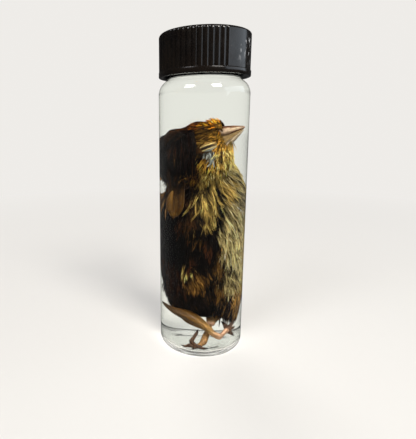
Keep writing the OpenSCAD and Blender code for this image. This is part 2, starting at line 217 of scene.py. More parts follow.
turn_out = math.degrees(math.atan2(SHOULDER_DZ, SHOULDER_DX))
inner_r = SHOULDER_R - WALL
inner_dx = BORE_R + INNER_FILLET - SHOULDER_X
inner_dz = math.sqrt((inner_r + INNER_FILLET) ** 2 - inner_dx ** 2)
turn_in = math.degrees(math.atan2(inner_dz, inner_dx))
neck_foot = (NECK_R, SHOULDER_Z + SHOULDER_DZ)
outline = dome(0, PUSH_R, PUSH_UP) + arc(BODY_R - HEEL_R, HEEL_R, HEEL_R, -90, 0)
outline += arc(SHOULDER_X, SHOULDER_Z, SHOULDER_R, 0, turn_out)
outline += arc(NECK_R + NECK_FILLET, neck_foot[1], NECK_FILLET, 180 + turn_out, 180, 6)[1:-1]
outline += straight(neck_foot, (NECK_R, VIAL_H - LIP_R), 44)
outline += arc(NECK_R - LIP_R, VIAL_H - LIP_R, LIP_R, 0, 90, 6)
inside = dome(BASE_T, PUSH_R, PUSH_UP) + arc(INNER_R - INNER_HEEL, BASE_T + INNER_HEEL, INNER_HEEL, -90, 0)
inside += arc(SHOULDER_X, SHOULDER_Z, inner_r, 0, turn_in)
inside += arc(BORE_R + INNER_FILLET, SHOULDER_Z + inner_dz, INNER_FILLET, 180 + turn_in, 180, 8)[1:]
inside += arc(BORE_R + LIP_R, VIAL_H - LIP_R, LIP_R, 180, 90, 6)
bm = turned(outline + inside[::-1])
for v in bm.verts:
    r, z = math.hypot(v.co.x, v.co.y) / MM, v.co.z / MM
    if abs(r - NECK_R) < 0.01 and neck_foot[1] < z < VIAL_H - LIP_R:
        up = helix_bead(math.atan2(v.co.y, v.co.x) % (2 * math.pi), z, THREAD_FOOT, THREAD_TURNS, 0.95)
        v.co.xy *= 1 + THREAD_H * up / NECK_R
piece("vial_glass", bm, glass, stands_for=["glass_vial"], sharp=60)

# %% [markdown]
# ## The fluid
# Drawn as one full body of clear fluid up into the neck, because the bird simply stands in it. Its
# skin laps a hair into the glass, so that light passes from glass to fluid with no film of air
# between them. At the glass the surface climbs in a small curve.

# %% Turn the fluid
LAP = 0.06
outline = dome(BASE_T - LAP, PUSH_R, PUSH_UP)
outline += arc(INNER_R - INNER_HEEL, BASE_T + INNER_HEEL, INNER_HEEL + LAP, -90, 0)
outline += arc(SHOULDER_X, SHOULDER_Z, inner_r + LAP, 0, turn_in)
outline += arc(BORE_R + INNER_FILLET, SHOULDER_Z + inner_dz, INNER_FILLET - LAP, 180 + turn_in, 180, 8)[1:]
outline += arc(BORE_R + LAP - MENISCUS, FLUID_Z + MENISCUS, MENISCUS, 0, -90, 10) + [(0, FLUID_Z)]
piece("fluid_body", turned(outline), fluid, stands_for=["preservative_fluid"], sharp=60)

# %% [markdown]
# ## The cap
# A moulded closure: convex ribs stand side by side round the skirt, with one plain panel, a plain
# band at the foot and a rounded top edge. It is turned with many steps, ten to a rib, and each
# vertex of the skirt is then drawn in to the outline of the ribs. Inside, a thread climbs with the
# same pitch as the one on the neck and lies half a pitch away from it, so the two never touch.

# %% Black moulded plastic
def shader(name, roughness, colour=(0.5, 0.5, 0.5)):
    """A material with a principled shader, and its parts for further nodes"""
    material = bpy.data.materials.new(name)
    material.use_nodes = True
    nodes, links = material.node_tree.nodes, material.node_tree.links
    body = nodes["Principled BSDF"]
    body.inputs["Base Color"].default_value = (*colour, 1)
    body.inputs["Roughness"].default_value = roughness
    return material, nodes, links, body


def noise(nodes, links, place, scale, detail=4, squeeze=None):
    """A noise texture on an object's own coordinates, drawn out along an axis if asked"""
    texture = nodes.new("ShaderNodeTexNoise")
    texture.inputs["Scale"].default_value = scale
    texture.inputs["Detail"].default_value = detail
    if squeeze:
        drawn = nodes.new("ShaderNodeMapping")
        drawn.inputs["Rotation"].default_value = squeeze[0]
        drawn.inputs["Scale"].default_value = squeeze[1]
        links.new(place, drawn.inputs["Vector"])
        place = drawn.outputs["Vector"]
    links.new(place, texture.inputs["Vector"])
    return texture.outputs["Fac"]


def mixed(nodes, links, kind, factor, a, b):
    """Two colours laid over one another"""
    node = nodes.new("ShaderNodeMix")
    node.data_type, node.blend_type = "RGBA", kind
    for socket, value in (("Factor", factor), ("A", a), ("B", b)):
        if hasattr(value, "links"):
            links.new(value, node.inputs[socket])
        else:
            node.inputs[socket].default_value = value if socket == "Factor" else (*value, 1)
    return node.outputs["Result"]


SCUFF_PLACE, SCUFF_FULL, SCUFF_END = (12.2 * MM, -5.8 * MM, 94.6 * MM), 1.8 * MM, 4.8 * MM
SCUFF_GREY = (0.55, 0.56, 0.58)
phenolic, nodes, links, body = shader("black_phenolic", 0.2)
body.inputs["Specular IOR Level"].default_value = 0.4
place = nodes.new("ShaderNodeTexCoord").outputs["Object"]
cloud = noise(nodes, links, place, 90)
dust = ramp(nodes, links, cloud, [(0.35, (0.0025, 0.002, 0.0018)), (0.75, (0.009, 0.006, 0.004))])
gloss = ramp(nodes, links, noise(nodes, links, place, 420), [(0.3, (0.1,)), (0.75, (0.26,))])
links.new(gloss.outputs["Color"], body.inputs["Roughness"])
scrape = noise(nodes, links, place, 1, 2, ((0.5, 0.3, 0.6), (160, 900, 420)))
reach_in = nodes.new("ShaderNodeVectorMath")
reach_in.operation = "DISTANCE"
links.new(place, reach_in.inputs[0])
reach_in.inputs[1].default_value = SCUFF_PLACE
near_panel = ramp(nodes, links, reach_in.outputs["Value"], [(SCUFF_FULL, (1.0,)), (SCUFF_END, (0.0,))])
rubbed = ramp(nodes, links, scrape, [(0.6, (0.0,)), (0.68, (1.0,))])
worn = mixed(nodes, links, "MULTIPLY", 1.0, near_panel.outputs["Color"], rubbed.outputs["Color"])
scuffed = mixed(nodes, links, "MIX", worn, dust.outputs["Color"], SCUFF_GREY)
links.new(scuffed, body.inputs["Base Color"])
print("material", phenolic.name)

# %% Turn the cap
RIBS, RIB_H, RIB_TIP = 52, 0.45, BAND_R - 0.1
CAP_BORE, CAP_EDGE, BAND_H, MOUTH = 12.1, 1.1, 1.6, 0.4
CAP_THREAD_TURNS, CAP_THREAD_H = 1.3, 0.95
PANEL_MID, PANEL_HALF, PANEL_R = math.radians(-32), math.radians(29), BAND_R - 0.22
rib_half = RIB_TIP * math.sin(math.pi / RIBS)
rib_r = (rib_half ** 2 + RIB_H ** 2) / (2 * RIB_H)


def skirt_radius(turn):
    """Outside radius of the ribbed skirt at an angle"""
    off = (turn - PANEL_MID + math.pi) % (2 * math.pi) - math.pi
    if abs(off) < PANEL_HALF:
        return PANEL_R
    start = (turn - PANEL_MID + PANEL_HALF) % (2 * math.pi)
    across = (start / (2 * math.pi) * RIBS + 0.5) % 1 - 0.5
    side = across * 2 * rib_half
    return RIB_TIP - rib_r + math.sqrt(max(rib_r ** 2 - side ** 2, 0))


outline = [(0, LINER_TOP), (CAP_BORE - 0.4, LINER_TOP), (CAP_BORE, LINER_TOP - 0.4)]
outline += straight((CAP_BORE, LINER_TOP - 0.5), (CAP_BORE, CAP_BOTTOM + MOUTH), 44)
outline += [(CAP_BORE, CAP_BOTTOM + MOUTH), (CAP_BORE + MOUTH, CAP_BOTTOM)]
outline += [(BAND_R - 0.25, CAP_BOTTOM), (BAND_R - 0.07, CAP_BOTTOM + 0.07), (BAND_R, CAP_BOTTOM + 0.25)]
outline += [(BAND_R, CAP_BOTTOM + BAND_H - 0.2), (BAND_R - 0.06, CAP_BOTTOM + BAND_H - 0.05)]
outline += [(BAND_R - 0.2, CAP_BOTTOM + BAND_H)]
skirt = straight((RIB_TIP, CAP_BOTTOM + BAND_H + 0.05), (RIB_TIP, CAP_TOP - CAP_EDGE), 6)
skirt += arc(RIB_TIP - CAP_EDGE, CAP_TOP - CAP_EDGE, CAP_EDGE, 0, 90, 8)
outline += skirt + [(RIB_TIP * 0.6, CAP_TOP), (0, CAP_TOP)]
bm = turned(outline, steps=RIBS * 10)
for v in bm.verts:
    r, z, turn = math.hypot(v.co.x, v.co.y) / MM, v.co.z / MM, math.atan2(v.co.y, v.co.x)
    if z > CAP_BOTTOM + BAND_H + 0.02 and r > CAP_BORE + 0.2:
        v.co.xy *= min(r, skirt_radius(turn)) / r
    elif abs(r - CAP_BORE) < 0.01 and z < LINER_TOP - 0.45:
        up = helix_bead(turn % (2 * math.pi), z, THREAD_FOOT - THREAD_PITCH / 2, CAP_THREAD_TURNS, 0.85)
        v.co.xy *= 1 - CAP_THREAD_H * up / CAP_BORE
piece("cap_moulding", bm, phenolic, body="cap", stands_for=["screw_cap"],
      sharp=50)

# %% [markdown]
# ## The liner
# Inside the cap lies a disc of pulp board with a thin smooth facing that bears on the lip. Both edges
# are eased as a punched disc's are, and the facing keeps a shallow ring where the lip has pressed it.

# %% Liner discs
PRESS = 0.3


def disc(node, ease, ring):
    """A punched disc as high and wide as its solid, with a ring pressed into its lower face"""
    low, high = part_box(node)[0].z / MM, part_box(node)[1].z / MM
    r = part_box(node)[1].x / MM
    outline = [(0, low), (BORE_R - PRESS, low), (BORE_R + PRESS, low + ring), (NECK_R - PRESS, low + ring)]
    outline += [(NECK_R + PRESS, low)] + arc(r - ease, low + ease, ease, -90, 0, 4)
    outline += arc(r - ease, high - ease, ease, 0, 90, 4) + [(0, high)]
    return turned(outline)


pulp, nodes, links, body = shader("liner_pulp", 0.9)
place = nodes.new("ShaderNodeTexCoord").outputs["Object"]
fibres = noise(nodes, links, place, 1, 6, ((0, 0, 0.4), (500, 2200, 900)))
board = ramp(nodes, links, fibres, [(0.3, (0.3, 0.22, 0.14)), (0.7, (0.52, 0.42, 0.3))])
links.new(board.outputs["Color"], body.inputs["Base Color"])
smooth_face, nodes, links, body = shader("liner_face", 0.35)
place = nodes.new("ShaderNodeTexCoord").outputs["Object"]
cloud = noise(nodes, links, place, 260)
smear = ramp(nodes, links, cloud, [(0.3, (0.7, 0.68, 0.62)), (0.6, (0.84, 0.83, 0.8))])
links.new(smear.outputs["Color"], body.inputs["Base Color"])
piece("liner_board", disc("liner_backing", 0.15, 0.0), pulp, "liner", ["liner_backing"])
piece("liner_skin", disc("liner_facing", 0.06, 0.04), smooth_face, "liner", ["liner_facing"])

# %% [markdown]
# ## The bird's forms
# The chick stands upright with its bill up, its wings folded back and its legs drawn under it. Each
# form is a row of stations: a place, a half width and a half depth. Places are in hundredths, across
# of the girth's radius and up of the bird's height, as in the design. A smooth curve runs through the
# stations, a circle is set at every step, and bridge_loops joins the circles to a skin. Each vertex
# takes a colour from its place along the form, because skin, horn and scales change along a limb.

# %% Stations and curves
GIRTH_CLEAR, CROWN_DROP = 2.6, 7.8
CHICK_R, CHICK_H = INNER_R - GIRTH_CLEAR, SHOULDER_Z - CROWN_DROP - BASE_T
KR, KZ = CHICK_R / 100, CHICK_H / 100


def at(x, y, z, half_width, half_depth=None):
    """A station of the bird, in hundredths of its girth and height"""
    half_depth = half_width if half_depth is None else half_depth
    return (x * KR, y * KR, BASE_T + z * KZ, half_width * KR, half_depth * KR)


def limb(x, y, z, r):
    """A station of a limb, whose thickness is a size of its own"""
    return (x * KR, y * KR, BASE_T + z * KZ, r, r)


def smoothed(stations, steps):
    """A curve through the stations, with more rows between them"""
    s = np.array(stations, float)
    a, b = np.vstack([s[:1], s[:-2]]), s[:-1]
    c, d = s[1:], np.vstack([s[2:], s[-1:]])
    rows = []
    for t in np.arange(steps) / steps:
        rows.append(0.5 * (2 * b + (c - a) * t + (2 * a - 5 * b + 4 * c - d) * t ** 2
                           + (3 * b - a - 3 * c + d) * t ** 3))
    return np.vstack([np.stack(rows, 1).reshape(-1, s.shape[1]), s[-1:]])


def linear(red, green, blue):
    """A colour as it is seen on a screen, from 0 to 255, made linear for a shader"""
    seen = np.array([red, green, blue], float) / 255
    return np.where(seen < 0.04045, seen / 12.92, ((seen + 0.055) / 1.055) ** 2.4)


def blend_along(t, stops):
    """A colour between stops (place, colour), for places from 0 to 1"""
    places = [place for place, _ in stops]
    return np.array([np.interp(t, places, [colour[i] for _, colour in stops]) for i in range(3)])


print("girth", round(CHICK_R, 2), "height", round(CHICK_H, 2))

# %% Lofted skins
def loft(bm, stations, side, around, steps, paint, relief=None):
    """Circles along the stations, bridged to a closed skin; paint(t, turn) gives the colours"""
    shade = bm.verts.layers.float_color.get("shade") or bm.verts.layers.float_color.new("shade")
    rows = smoothed(stations, steps)
    side = np.array(side, float)
    before = None
    for i, row in enumerate(rows):
        run = rows[min(i + 1, len(rows) - 1), :3] - rows[max(i - 1, 0), :3]
        run = run / np.linalg.norm(run)
        across = side - run * (side @ run)
        across = across / np.linalg.norm(across)
        deep = np.cross(run, across)
        t = i / (len(rows) - 1)
        ring = bmesh.ops.create_circle(bm, segments=around, radius=1)["verts"]
        for v in ring:
            turn = math.atan2(v.co.y, v.co.x)
            swell = relief(t, turn) if relief else 1
            place = row[:3] + swell * (across * row[3] * v.co.x + deep * row[4] * v.co.y)
            v[shade] = (*paint(t, turn), 1)
            v.co = Vector(place * MM)
        edges = list({e for v in ring for e in v.link_edges})
        if before:
            bmesh.ops.bridge_loops(bm, edges=before + edges)
        else:
            bmesh.ops.holes_fill(bm, edges=edges, sides=0)
        before = edges
    bmesh.ops.holes_fill(bm, edges=before, sides=0)
    bmesh.ops.recalc_face_normals(bm, faces=bm.faces)
    return bm


def painted(name, roughness, shine, grain, depth):
    """A material that wears a piece's own shades, mottled and roughened by a fine grain"""
    material, nodes, links, body = shader(name, roughness)
    body.inputs["Specular IOR Level"].default_value = shine
    shade = nodes.new("ShaderNodeAttribute")
    shade.attribute_name = "shade"
    mottle = noise(nodes, links, nodes.new("ShaderNodeTexCoord").outputs["Object"], grain, 5)
    tone = ramp(nodes, links, mottle, [(0.3, (0.62,)), (0.65, (1.0,))])
    worn = mixed(nodes, links, "MULTIPLY", 1.0, shade.outputs["Color"], tone.outputs["Color"])
    links.new(worn, body.inputs["Base Color"])
    if depth:
        bump = nodes.new("ShaderNodeBump")
        bump.inputs["Strength"].default_value = 0.6
        bump.inputs["Distance"].default_value = depth * MM
        links.new(mottle, bump.inputs["Height"])
        links.new(bump.outputs["Normal"], body.inputs["Normal"])
    return material


skin = painted("soaked_skin", 0.5, 0.04, 900, 0.2)
print("material", skin.name)

# %% [markdown]
# ## Trunk and head
# Both are plain swelling forms. On the bird they are hidden under down, so their dark colour is
# painted shade, as dark as the gaps between wet locks, and the face is warmer than the belly.

# %% Trunk and head skins
TRUNK = [at(9, -4, 15.3, 42, 40), at(9, -5, 16.6, 70, 64), at(9, -1, 20, 81, 75), at(7, 3, 26, 90, 82),
         at(3, 3, 36, 98, 88), at(2, 3, 50, 99, 90), at(7, 4, 63, 96, 84), at(13, 6, 71, 87, 69),
         at(18, 9, 77, 65, 53), at(16, 6, 83, 44, 40), at(12, 0, 88, 12)]
HEAD = [at(6, -20, 72.5, 14), at(6, -22, 75.5, 43, 45), at(5, -22, 79.5, 56, 61), at(6, -16, 84, 63, 65),
        at(1, -12, 87, 58, 65), at(-4, -8, 91, 53, 62), at(3, -6, 95, 46, 54), at(13, -5, 97.6, 27, 35),
        at(17, -5, 99, 9)]
# The near-black trunk is painted shade, the dark that shows between wet locks.
SHADED_SKIN, WARM_SKIN = linear(12, 8, 6), linear(56, 35, 15)
bm = loft(bmesh.new(), TRUNK, (1, 0, 0), 40, 6, lambda t, turn: SHADED_SKIN)
piece("trunk_skin", bm, skin, stands_for=["trunk"])
bm = loft(bmesh.new(), HEAD, (1, 0, 0), 40, 6, lambda t, turn: WARM_SKIN)
piece("head_skin", bm, skin, stands_for=["head"])

# %% [markdown]
# ## Bill
# Horn over bone: the upper half is arched, with a brown ridge, a pale swollen patch over the nostril
# and a tip that bends down a little. The lower half is a slim pale blade. The nostril is pressed in
# by the relief of the loft, so it shows from every side. Between the halves lies the tan lining of
# the mouth, a narrower horn of the same kind, its tan darkened as painted shade between the halves.

# %% Bill halves
HORN_RIDGE, HORN_PALE, HORN_PINK = linear(84, 44, 16), linear(154, 136, 112), linear(160, 134, 112)
# The mouth's tan is darkened as painted shade, for the lining seen in the gap between the halves.
MOUTH_TAN_SHADED = linear(142, 116, 76)
BILL_L, BILL_W, BILL_H = 4.4, 15 * KR, 2 * KZ
horn = painted("bill_horn", 0.32, 0.15, 1400, 0.05)


def bill_half(root, heading, length, half_w, half_h, hook, full, paint, relief):
    """A tapering horn from its root, its tip bent a little down; a full one stays deep towards the tip"""
    root = np.array(at(*root, 0)[:3])
    run = np.array([heading[0] * KR, 0, heading[1] * KZ])
    run = run / np.linalg.norm(run)
    rows = []
    for t, w, h in [(-0.2, 0.7, 0.7), (0.05, 1, 1), (0.4, 0.86, 0.8), (0.72, 0.52, 0.5),
                    (0.93, 0.24, 0.28), (1, 0.06, 0.1)]:
        centre = root + run * (t * length) - np.array([0, 0, hook * t ** 3])
        rows.append((*centre, w * half_w, h * half_h * (1 + 4 * full * max(t, 0) * (1 - t))))
    return loft(bmesh.new(), rows, (0, 1, 0), 32, 7, paint, relief)


def upper_paint(t, turn):
    """Brown on the ridge, along the lower edge and at the tip, with a pale patch behind the nostril"""
    ridge = max(0.0, math.sin(turn) * 4 - 1.7)
    edge = max(0.0, -math.sin(turn) * 2.2 - 0.5) * min(1.0, 2 * t)
    tip = max(0.0, t * 3 - 1.9)
    brown = min(1.0, ridge + edge + tip)
    side = HORN_PINK * max(0.0, 1 - 1.4 * t) + HORN_PALE * min(1.0, 1.4 * t)
    return side * (1 - brown) + HORN_RIDGE * brown


def nostril(t, turn):
    """A slit pressed into each side near the root"""
    deep = 0.0
    for side in (0.3, math.pi - 0.3):
        off = (turn - side + math.pi) % (2 * math.pi) - math.pi
        deep = max(deep, math.exp(-((t - 0.42) / 0.09) ** 2 - (off / 0.2) ** 2))
    return 1 - 0.3 * deep


def lower_paint(t, turn):
    """Pale blade with a brown edge along its upper side"""
    edge = math.exp(-((turn - 0.9) / 0.4) ** 2) + math.exp(-((turn - 2.24) / 0.4) ** 2)
    return HORN_PALE * (1 - 0.55 * min(edge, 1)) * (0.8 + 0.2 * t)


def lining_paint(t, turn):
    """Tan skin in painted shade, with painted bands of light and shade for long folds, darker towards the
    tip
    """
    return MOUTH_TAN_SHADED * (1 - 0.35 * t) * (0.85 + 0.15 * math.sin(9 * turn + 4 * t))


bm = bill_half((44, -5, 95.8), (50.5, 1.9), BILL_L * 1.26, BILL_W, BILL_H, 0.25, 0, upper_paint, nostril)
piece("upper_bill_horn", bm, horn, stands_for=["upper_bill"])
bm = bill_half((44, -5, 88.4), (51, 8.2), BILL_L * 1.78, BILL_W * 1.2, BILL_H * 0.4, 0, 0.45,
               lower_paint, None)
piece("lower_bill_horn", bm, horn, stands_for=["lower_bill"])
bm = bill_half((44, -5, 92.6), (50, 4.3), BILL_L * 1.26, BILL_W * 0.45, BILL_H * 1.05, 0, 0,
               lining_paint, None)
piece("mouth_lining", bm, horn)

# %% [markdown]
# ## Closed lids
# The lids meet in a sloping slit, painted dark as shade, with a pale rim. A ball squashed to an
# almond is let into the head, and its vertices near the slit are pressed inwards; the colour goes from
# painted shade in the slit over a pale rim to skin as dark as the down around it.

# %% Eyelids
# The slit's colour is painted shade in the crease where the lids meet.
LID_SLIT_SHADE, LID_RIM, LID_SKIN = linear(8, 6, 5), linear(196, 178, 118), linear(112, 86, 42)
LID_GREY = linear(128, 140, 138)
EYE_TILT, EYE_R, LID_L, LID_H = math.radians(23), 2.1, 2.7, 1.6
lid_skin = painted("eyelid_skin", 0.42, 0.1, 1600, 0.06)


def lids(name, side, node):
    """An almond with a slit, on one side of the head"""
    bm = bmesh.new()
    shade = bm.verts.layers.float_color.new("shade")
    bmesh.ops.create_uvsphere(bm, u_segments=56, v_segments=40, radius=1)
    centre = np.array(at(9, -11 + side * 48, 89.5, 0)[:3])
    for v in bm.verts:
        along, out, up = v.co.x, v.co.y, v.co.z
        bow = up - 0.1 * (1 - along ** 2)
        slit = math.exp(-(bow / (0.26 - 0.12 * along ** 2)) ** 4) * max(0.0, 1 - (along / 0.95) ** 8)
        rim = math.exp(-((abs(bow) - 0.35) / 0.055) ** 2) * max(0.0, 1 - along ** 4)
        under = max(0.0, min(1.0, -up * 3 - 0.6))
        colour = LID_SKIN * (1 - under) + LID_GREY * under
        colour = colour * (1 - rim) + LID_RIM * rim
        v[shade] = (*(colour * (1 - slit) + LID_SLIT_SHADE * slit), 1)
        swell = EYE_R - 0.2 * slit + 0.08 * rim
        x, z = along * LID_L, up * LID_H
        v.co = Vector((x * math.cos(EYE_TILT) - z * math.sin(EYE_TILT), out * swell,
                       x * math.sin(EYE_TILT) + z * math.cos(EYE_TILT))) * MM
    bmesh.ops.translate(bm, verts=bm.verts, vec=Vector(centre * MM))
    bmesh.ops.recalc_face_normals(bm, faces=bm.faces)
    return piece(name, bm, lid_skin, stands_for=[node])


lids("near_lids", -1, "near_eyelids")
lids("far_lids", 1, "far_eyelids")

# %% [markdown]
# ## Wings
# Each folded wing lies along the back as a bar under long wet down, painted dark as shade, and ends
# in a smooth ochre lobe, the pinion. A smaller lobe beside it is the thumb of the wing. Fine grooves
# run along them, and on the pinion bands of painted light and shade follow the grooves.

# %% Wing lobes
# The wing's dark bar is painted shade under the long wet down.
OCHRE, PALE_OCHRE, WING_SHADE = linear(80, 54, 20), linear(116, 82, 35), linear(16, 10, 6)
# Each fold: side of the bird, lift, tuck
NEAR_WING, FAR_WING = (-1, 0, 0), (1, -2, 16)


def wing_rows(side, lift, tuck):
    """Stations of a folded wing, from the nape down to its pinion; a tucked one lies further in"""
    out = tuck / 4
    return [at(-64, side * 34, 96.6 + lift, 8, 5), at(-70, side * 38, 94.6 + lift, 26, 16),
            at(-76, side * 46, 89.4 + lift, 36, 22), at(tuck / 2 - 73, side * 50, 83 + lift, 34, 21),
            at(tuck - 68, side * (54 + out), 77 + lift, 28, 18),
            at(tuck - 70, side * (61 + out), 70.5 + lift, 29, 15),
            at(tuck - 74, side * (66 + out), 65.5 + lift, 32, 13),
            at(tuck - 79, side * (67 + out), 61.8 + lift, 20, 9),
            at(tuck - 81, side * (67 + out), 59.8 + lift, 5, 4)]


def thumb_rows(side, lift, tuck):
    """Stations of the thumb, a small lobe beside the pinion"""
    out = tuck / 4
    return [at(tuck - 82, side * (70 + out), 71.5 + lift, 3),
            at(tuck - 87, side * (65 + out), 69 + lift, 9, 6),
            at(tuck - 90, side * (62 + out), 66 + lift, 15, 7),
            at(tuck - 90, side * (62 + out), 63.2 + lift, 13, 6),
            at(tuck - 88, side * (64 + out), 61.6 + lift, 4, 3)]


def wing_paint(t, turn):
    """Painted shade along the back under the down, ochre at the lobe, bands of painted light and shade along
    the grooves, and a few dark wet streaks across
    """
    colour = blend_along(t, [(0, WING_SHADE), (0.45, WING_SHADE), (0.6, OCHRE * 0.4), (0.8, OCHRE),
                             (1, PALE_OCHRE)])
    streak = max(math.sin(5 * turn + 14 * t), 0) ** 6 * (1 - 0.6 * t)
    return colour * (0.78 + 0.22 * math.sin(11 * turn + 3 * t)) * (1 - streak)


def thumb_paint(t, turn):
    """Ochre that darkens towards the tip"""
    return blend_along(t, [(0, PALE_OCHRE), (0.5, OCHRE), (1, OCHRE * 0.7)])


def grooves(t, turn):
    """Shallow grooves along a lobe"""
    return 1 + 0.03 * math.sin(11 * turn + 3 * t)


def wing(name, fold, node):
    """A folded wing with its pinion and thumb lobes"""
    broad = (0.67, fold[0] * 0.74, 0)
    bm = loft(bmesh.new(), wing_rows(*fold), broad, 36, 7, wing_paint, grooves)
    loft(bm, thumb_rows(*fold), broad, 24, 8, thumb_paint, grooves)
    return piece(name, bm, skin, stands_for=[node])


wing("near_wing_lobes", NEAR_WING, "near_wing")
wing("far_wing_lobes", FAR_WING, "far_wing")

# %% [markdown]
# ## Legs
# The skin of the drumsticks is smooth and ochre, and it turns pink towards the hock. Shanks and toes
# carry rows of small scales: the loft swells a little at each row, more on the front than behind.
# Claws are dark tapering horn.

# %% Drumsticks
THIGH, THIGH_LIGHT, HOCK_PINK = linear(76, 50, 14), linear(138, 104, 58), linear(160, 124, 98)
SHANK_TONE, TOE_TONE, CLAW_TONE = linear(124, 90, 52), linear(70, 48, 34), linear(34, 22, 14)
SHANK_R, TOE_R, CLAW_L = 0.75, 0.7, 1.3
leg_skin = painted("leg_skin", 0.3, 0.2, 700, 0.12)


def thigh_paint(t, turn):
    """Painted shade at the root under the down, ochre at the knee, lighter along the shin and pink at the
    hock, with streaks of painted light and shade on the long folds
    """
    # The dark root is painted shade under the down; the streaks follow the sinews' relief as painted light
    # and shade.
    colour = blend_along(t, [(0, THIGH * 0.35), (0.15, THIGH * 0.7), (0.4, THIGH), (0.65, THIGH_LIGHT * 0.9),
                             (0.85, HOCK_PINK), (1, HOCK_PINK)])
    return colour * (0.82 + 0.18 * math.sin(4 * turn + 7 * t))


def sinews(t, turn):
    """Long shallow folds of skin over the muscle"""
    return 1 + 0.06 * math.sin(4 * turn + 7 * t) + 0.03 * math.sin(7 * turn - 9 * t)


near_rows = [at(-108, -16, 17.2, 3), at(-99, -28, 17, 7), at(-73, -52, 16, 11.5), at(-48, -60, 15.3, 16.5),
             at(-28, -63, 14, 20.5), at(-1, -67, 11.7, 16), at(19, -72, 9.7, 11), at(35, -77, 7.3, 9),
             at(54, -80, 5.9, 10.5), at(61, -81, 5.7, 7), at(64, -81, 5.7, 2)]
far_rows = [at(52, 26, 18.5, 9), at(46, 14, 17, 21), at(40, -4, 15, 24), at(32, -22, 12.9, 19),
            at(28, -36, 11.2, 13), at(26, -44, 10.2, 11.5), at(25, -48, 9.6, 3)]
for name, rows, node in [("near_thigh", near_rows, "near_drumstick"),
                         ("far_thigh", far_rows, "far_drumstick")]:
    bm = loft(bmesh.new(), rows, (0, 0, 1), 32, 8, thigh_paint, sinews)
    piece(name, bm, leg_skin, stands_for=[node])

# %% Shanks
shank_skin = painted("shank_skin", 0.36, 0.15, 1200, 0.06)


def scales(rows):
    """Relief of a row of scales along a limb, stronger on its front"""
    def relief(t, turn):
        return 0.95 + (0.07 + 0.04 * math.cos(turn)) * abs(math.sin(math.pi * rows * t))
    return relief


def shaded_scales_paint(tone, rows):
    """Painted shade in the furrows between the scales"""
    return lambda t, turn: tone * (0.62 + 0.38 * abs(math.sin(math.pi * rows * t)))


near_rows = [limb(55, -80, 5.7, SHANK_R * 0.6), limb(60, -72, 6.1, SHANK_R), limb(66, -60, 6.7, SHANK_R),
             limb(71, -49, 7.2, SHANK_R * 1.15), limb(72, -45, 7.4, SHANK_R * 0.4)]
far_rows = [limb(26, -44, 10.2, SHANK_R * 0.6), limb(22, -50, 7.6, SHANK_R * 1.1),
            limb(15, -62, 5.2, SHANK_R * 1.25), limb(8, -83, 3, SHANK_R * 1.3),
            limb(-8, -94, 2.1, SHANK_R * 0.4)]
SHANK_SCALES, TOE_SCALES = 11, 8
for name, rows, tone, node in [("near_shank_skin", near_rows, HOCK_PINK, "near_shank"),
                               ("far_shank_skin", far_rows, SHANK_TONE, "far_shank")]:
    bm = loft(bmesh.new(), rows, (0, 0, 1), 20, 18, shaded_scales_paint(tone, SHANK_SCALES),
              scales(SHANK_SCALES))
    piece(name, bm, shank_skin, stands_for=[node])

# %% Toes and claws
NEAR_FOOT = {"joint": (72, -46, 7.3), "bend": (-0.35, 0.1, 0.2),
             "knuckles": [(81, -39, 7.4), (78, -33, 8.4), (81, -44, 5.8), (67, -38, 8.6)],
             "roots": [(88, -31, 7.2), (84, -22, 9.4), (88, -43, 4.8), (61, -29, 9.6)]}
FAR_FOOT = {"joint": (-14, -94, 2), "bend": (0, 0, 0.5),
            "knuckles": [(-31, -92, 1.6), (-15, -99, 1.4), (0, -98, 1.5), (-25, -93, 3.8)],
            "roots": [(-44, -90, 0.8), (-17, -102, 1), (10, -102, 0.9), (-10, -83, 7.6)]}
claw_horn = painted("claw_horn", 0.3, 0.15, 1500, 0.03)


def halfway(p, q):
    """The place midway between two places"""
    return tuple((a + b) / 2 for a, b in zip(p, q))


def toes(name, foot, tone, node):
    """Four toes, each from the joint over its knuckle to the root of its claw"""
    bm = bmesh.new()
    for knuckle, root in zip(foot["knuckles"], foot["roots"]):
        rows = [limb(*foot["joint"], TOE_R * 1.1), limb(*halfway(foot["joint"], knuckle), TOE_R * 0.9),
                limb(*knuckle, TOE_R), limb(*halfway(knuckle, root), TOE_R * 0.75), limb(*root, TOE_R * 0.7)]
        loft(bm, rows, (0, 0.3, 1), 16, 10, shaded_scales_paint(tone, TOE_SCALES), scales(TOE_SCALES))
    return piece(name, bm, shank_skin, stands_for=[node])


def claws(name, foot, node):
    """A tapering claw at the end of each toe"""
    bm = bmesh.new()
    bend = np.array(foot["bend"])
    for knuckle, root in zip(foot["knuckles"], foot["roots"]):
        start, before = np.array(limb(*root, 0)[:3]), np.array(limb(*knuckle, 0)[:3])
        run = (start - before) / np.linalg.norm(start - before) + bend
        run = run / np.linalg.norm(run)
        rows = []
        for t, r in [(-0.15, 0.5), (0.15, 0.58), (0.6, 0.34), (1, 0.08)]:
            rows.append((*(start + run * t * CLAW_L + bend * t * t * CLAW_L / 4), r * TOE_R, r * TOE_R))
        loft(bm, rows, (0, 0.3, 1), 14, 6, lambda t, turn: CLAW_TONE * (1.3 - 0.6 * t))
    return piece(name, bm, claw_horn, stands_for=[node])


toes("near_toes", NEAR_FOOT, TOE_TONE, "near_foot")
toes("far_toes", FAR_FOOT, TOE_TONE * 0.9, "far_foot")
claws("near_claw_horn", NEAR_FOOT, "near_claws")
claws("far_claw_horn", FAR_FOOT, "far_claws")

# %% [markdown]
# ## One strand of down
# Wet down clings together in pointed locks. Hair curves could grow it, but then the meshes would hold
# no down, so a single strand is modelled and copied: a three-sided cone, cut into rows by planes so
# that it can bend. Every copy follows a path of its own and carries its colour along its length. So
# many copies are written straight into a mesh, because an operator for each would be slow.

# %% Model the strand
STRAND_ROWS = 5
ALONG = np.arange(STRAND_ROWS + 1) / STRAND_ROWS
STRAND_TAPER = np.array([0.7, 1.0, 0.95, 0.8, 0.55, 0.12])


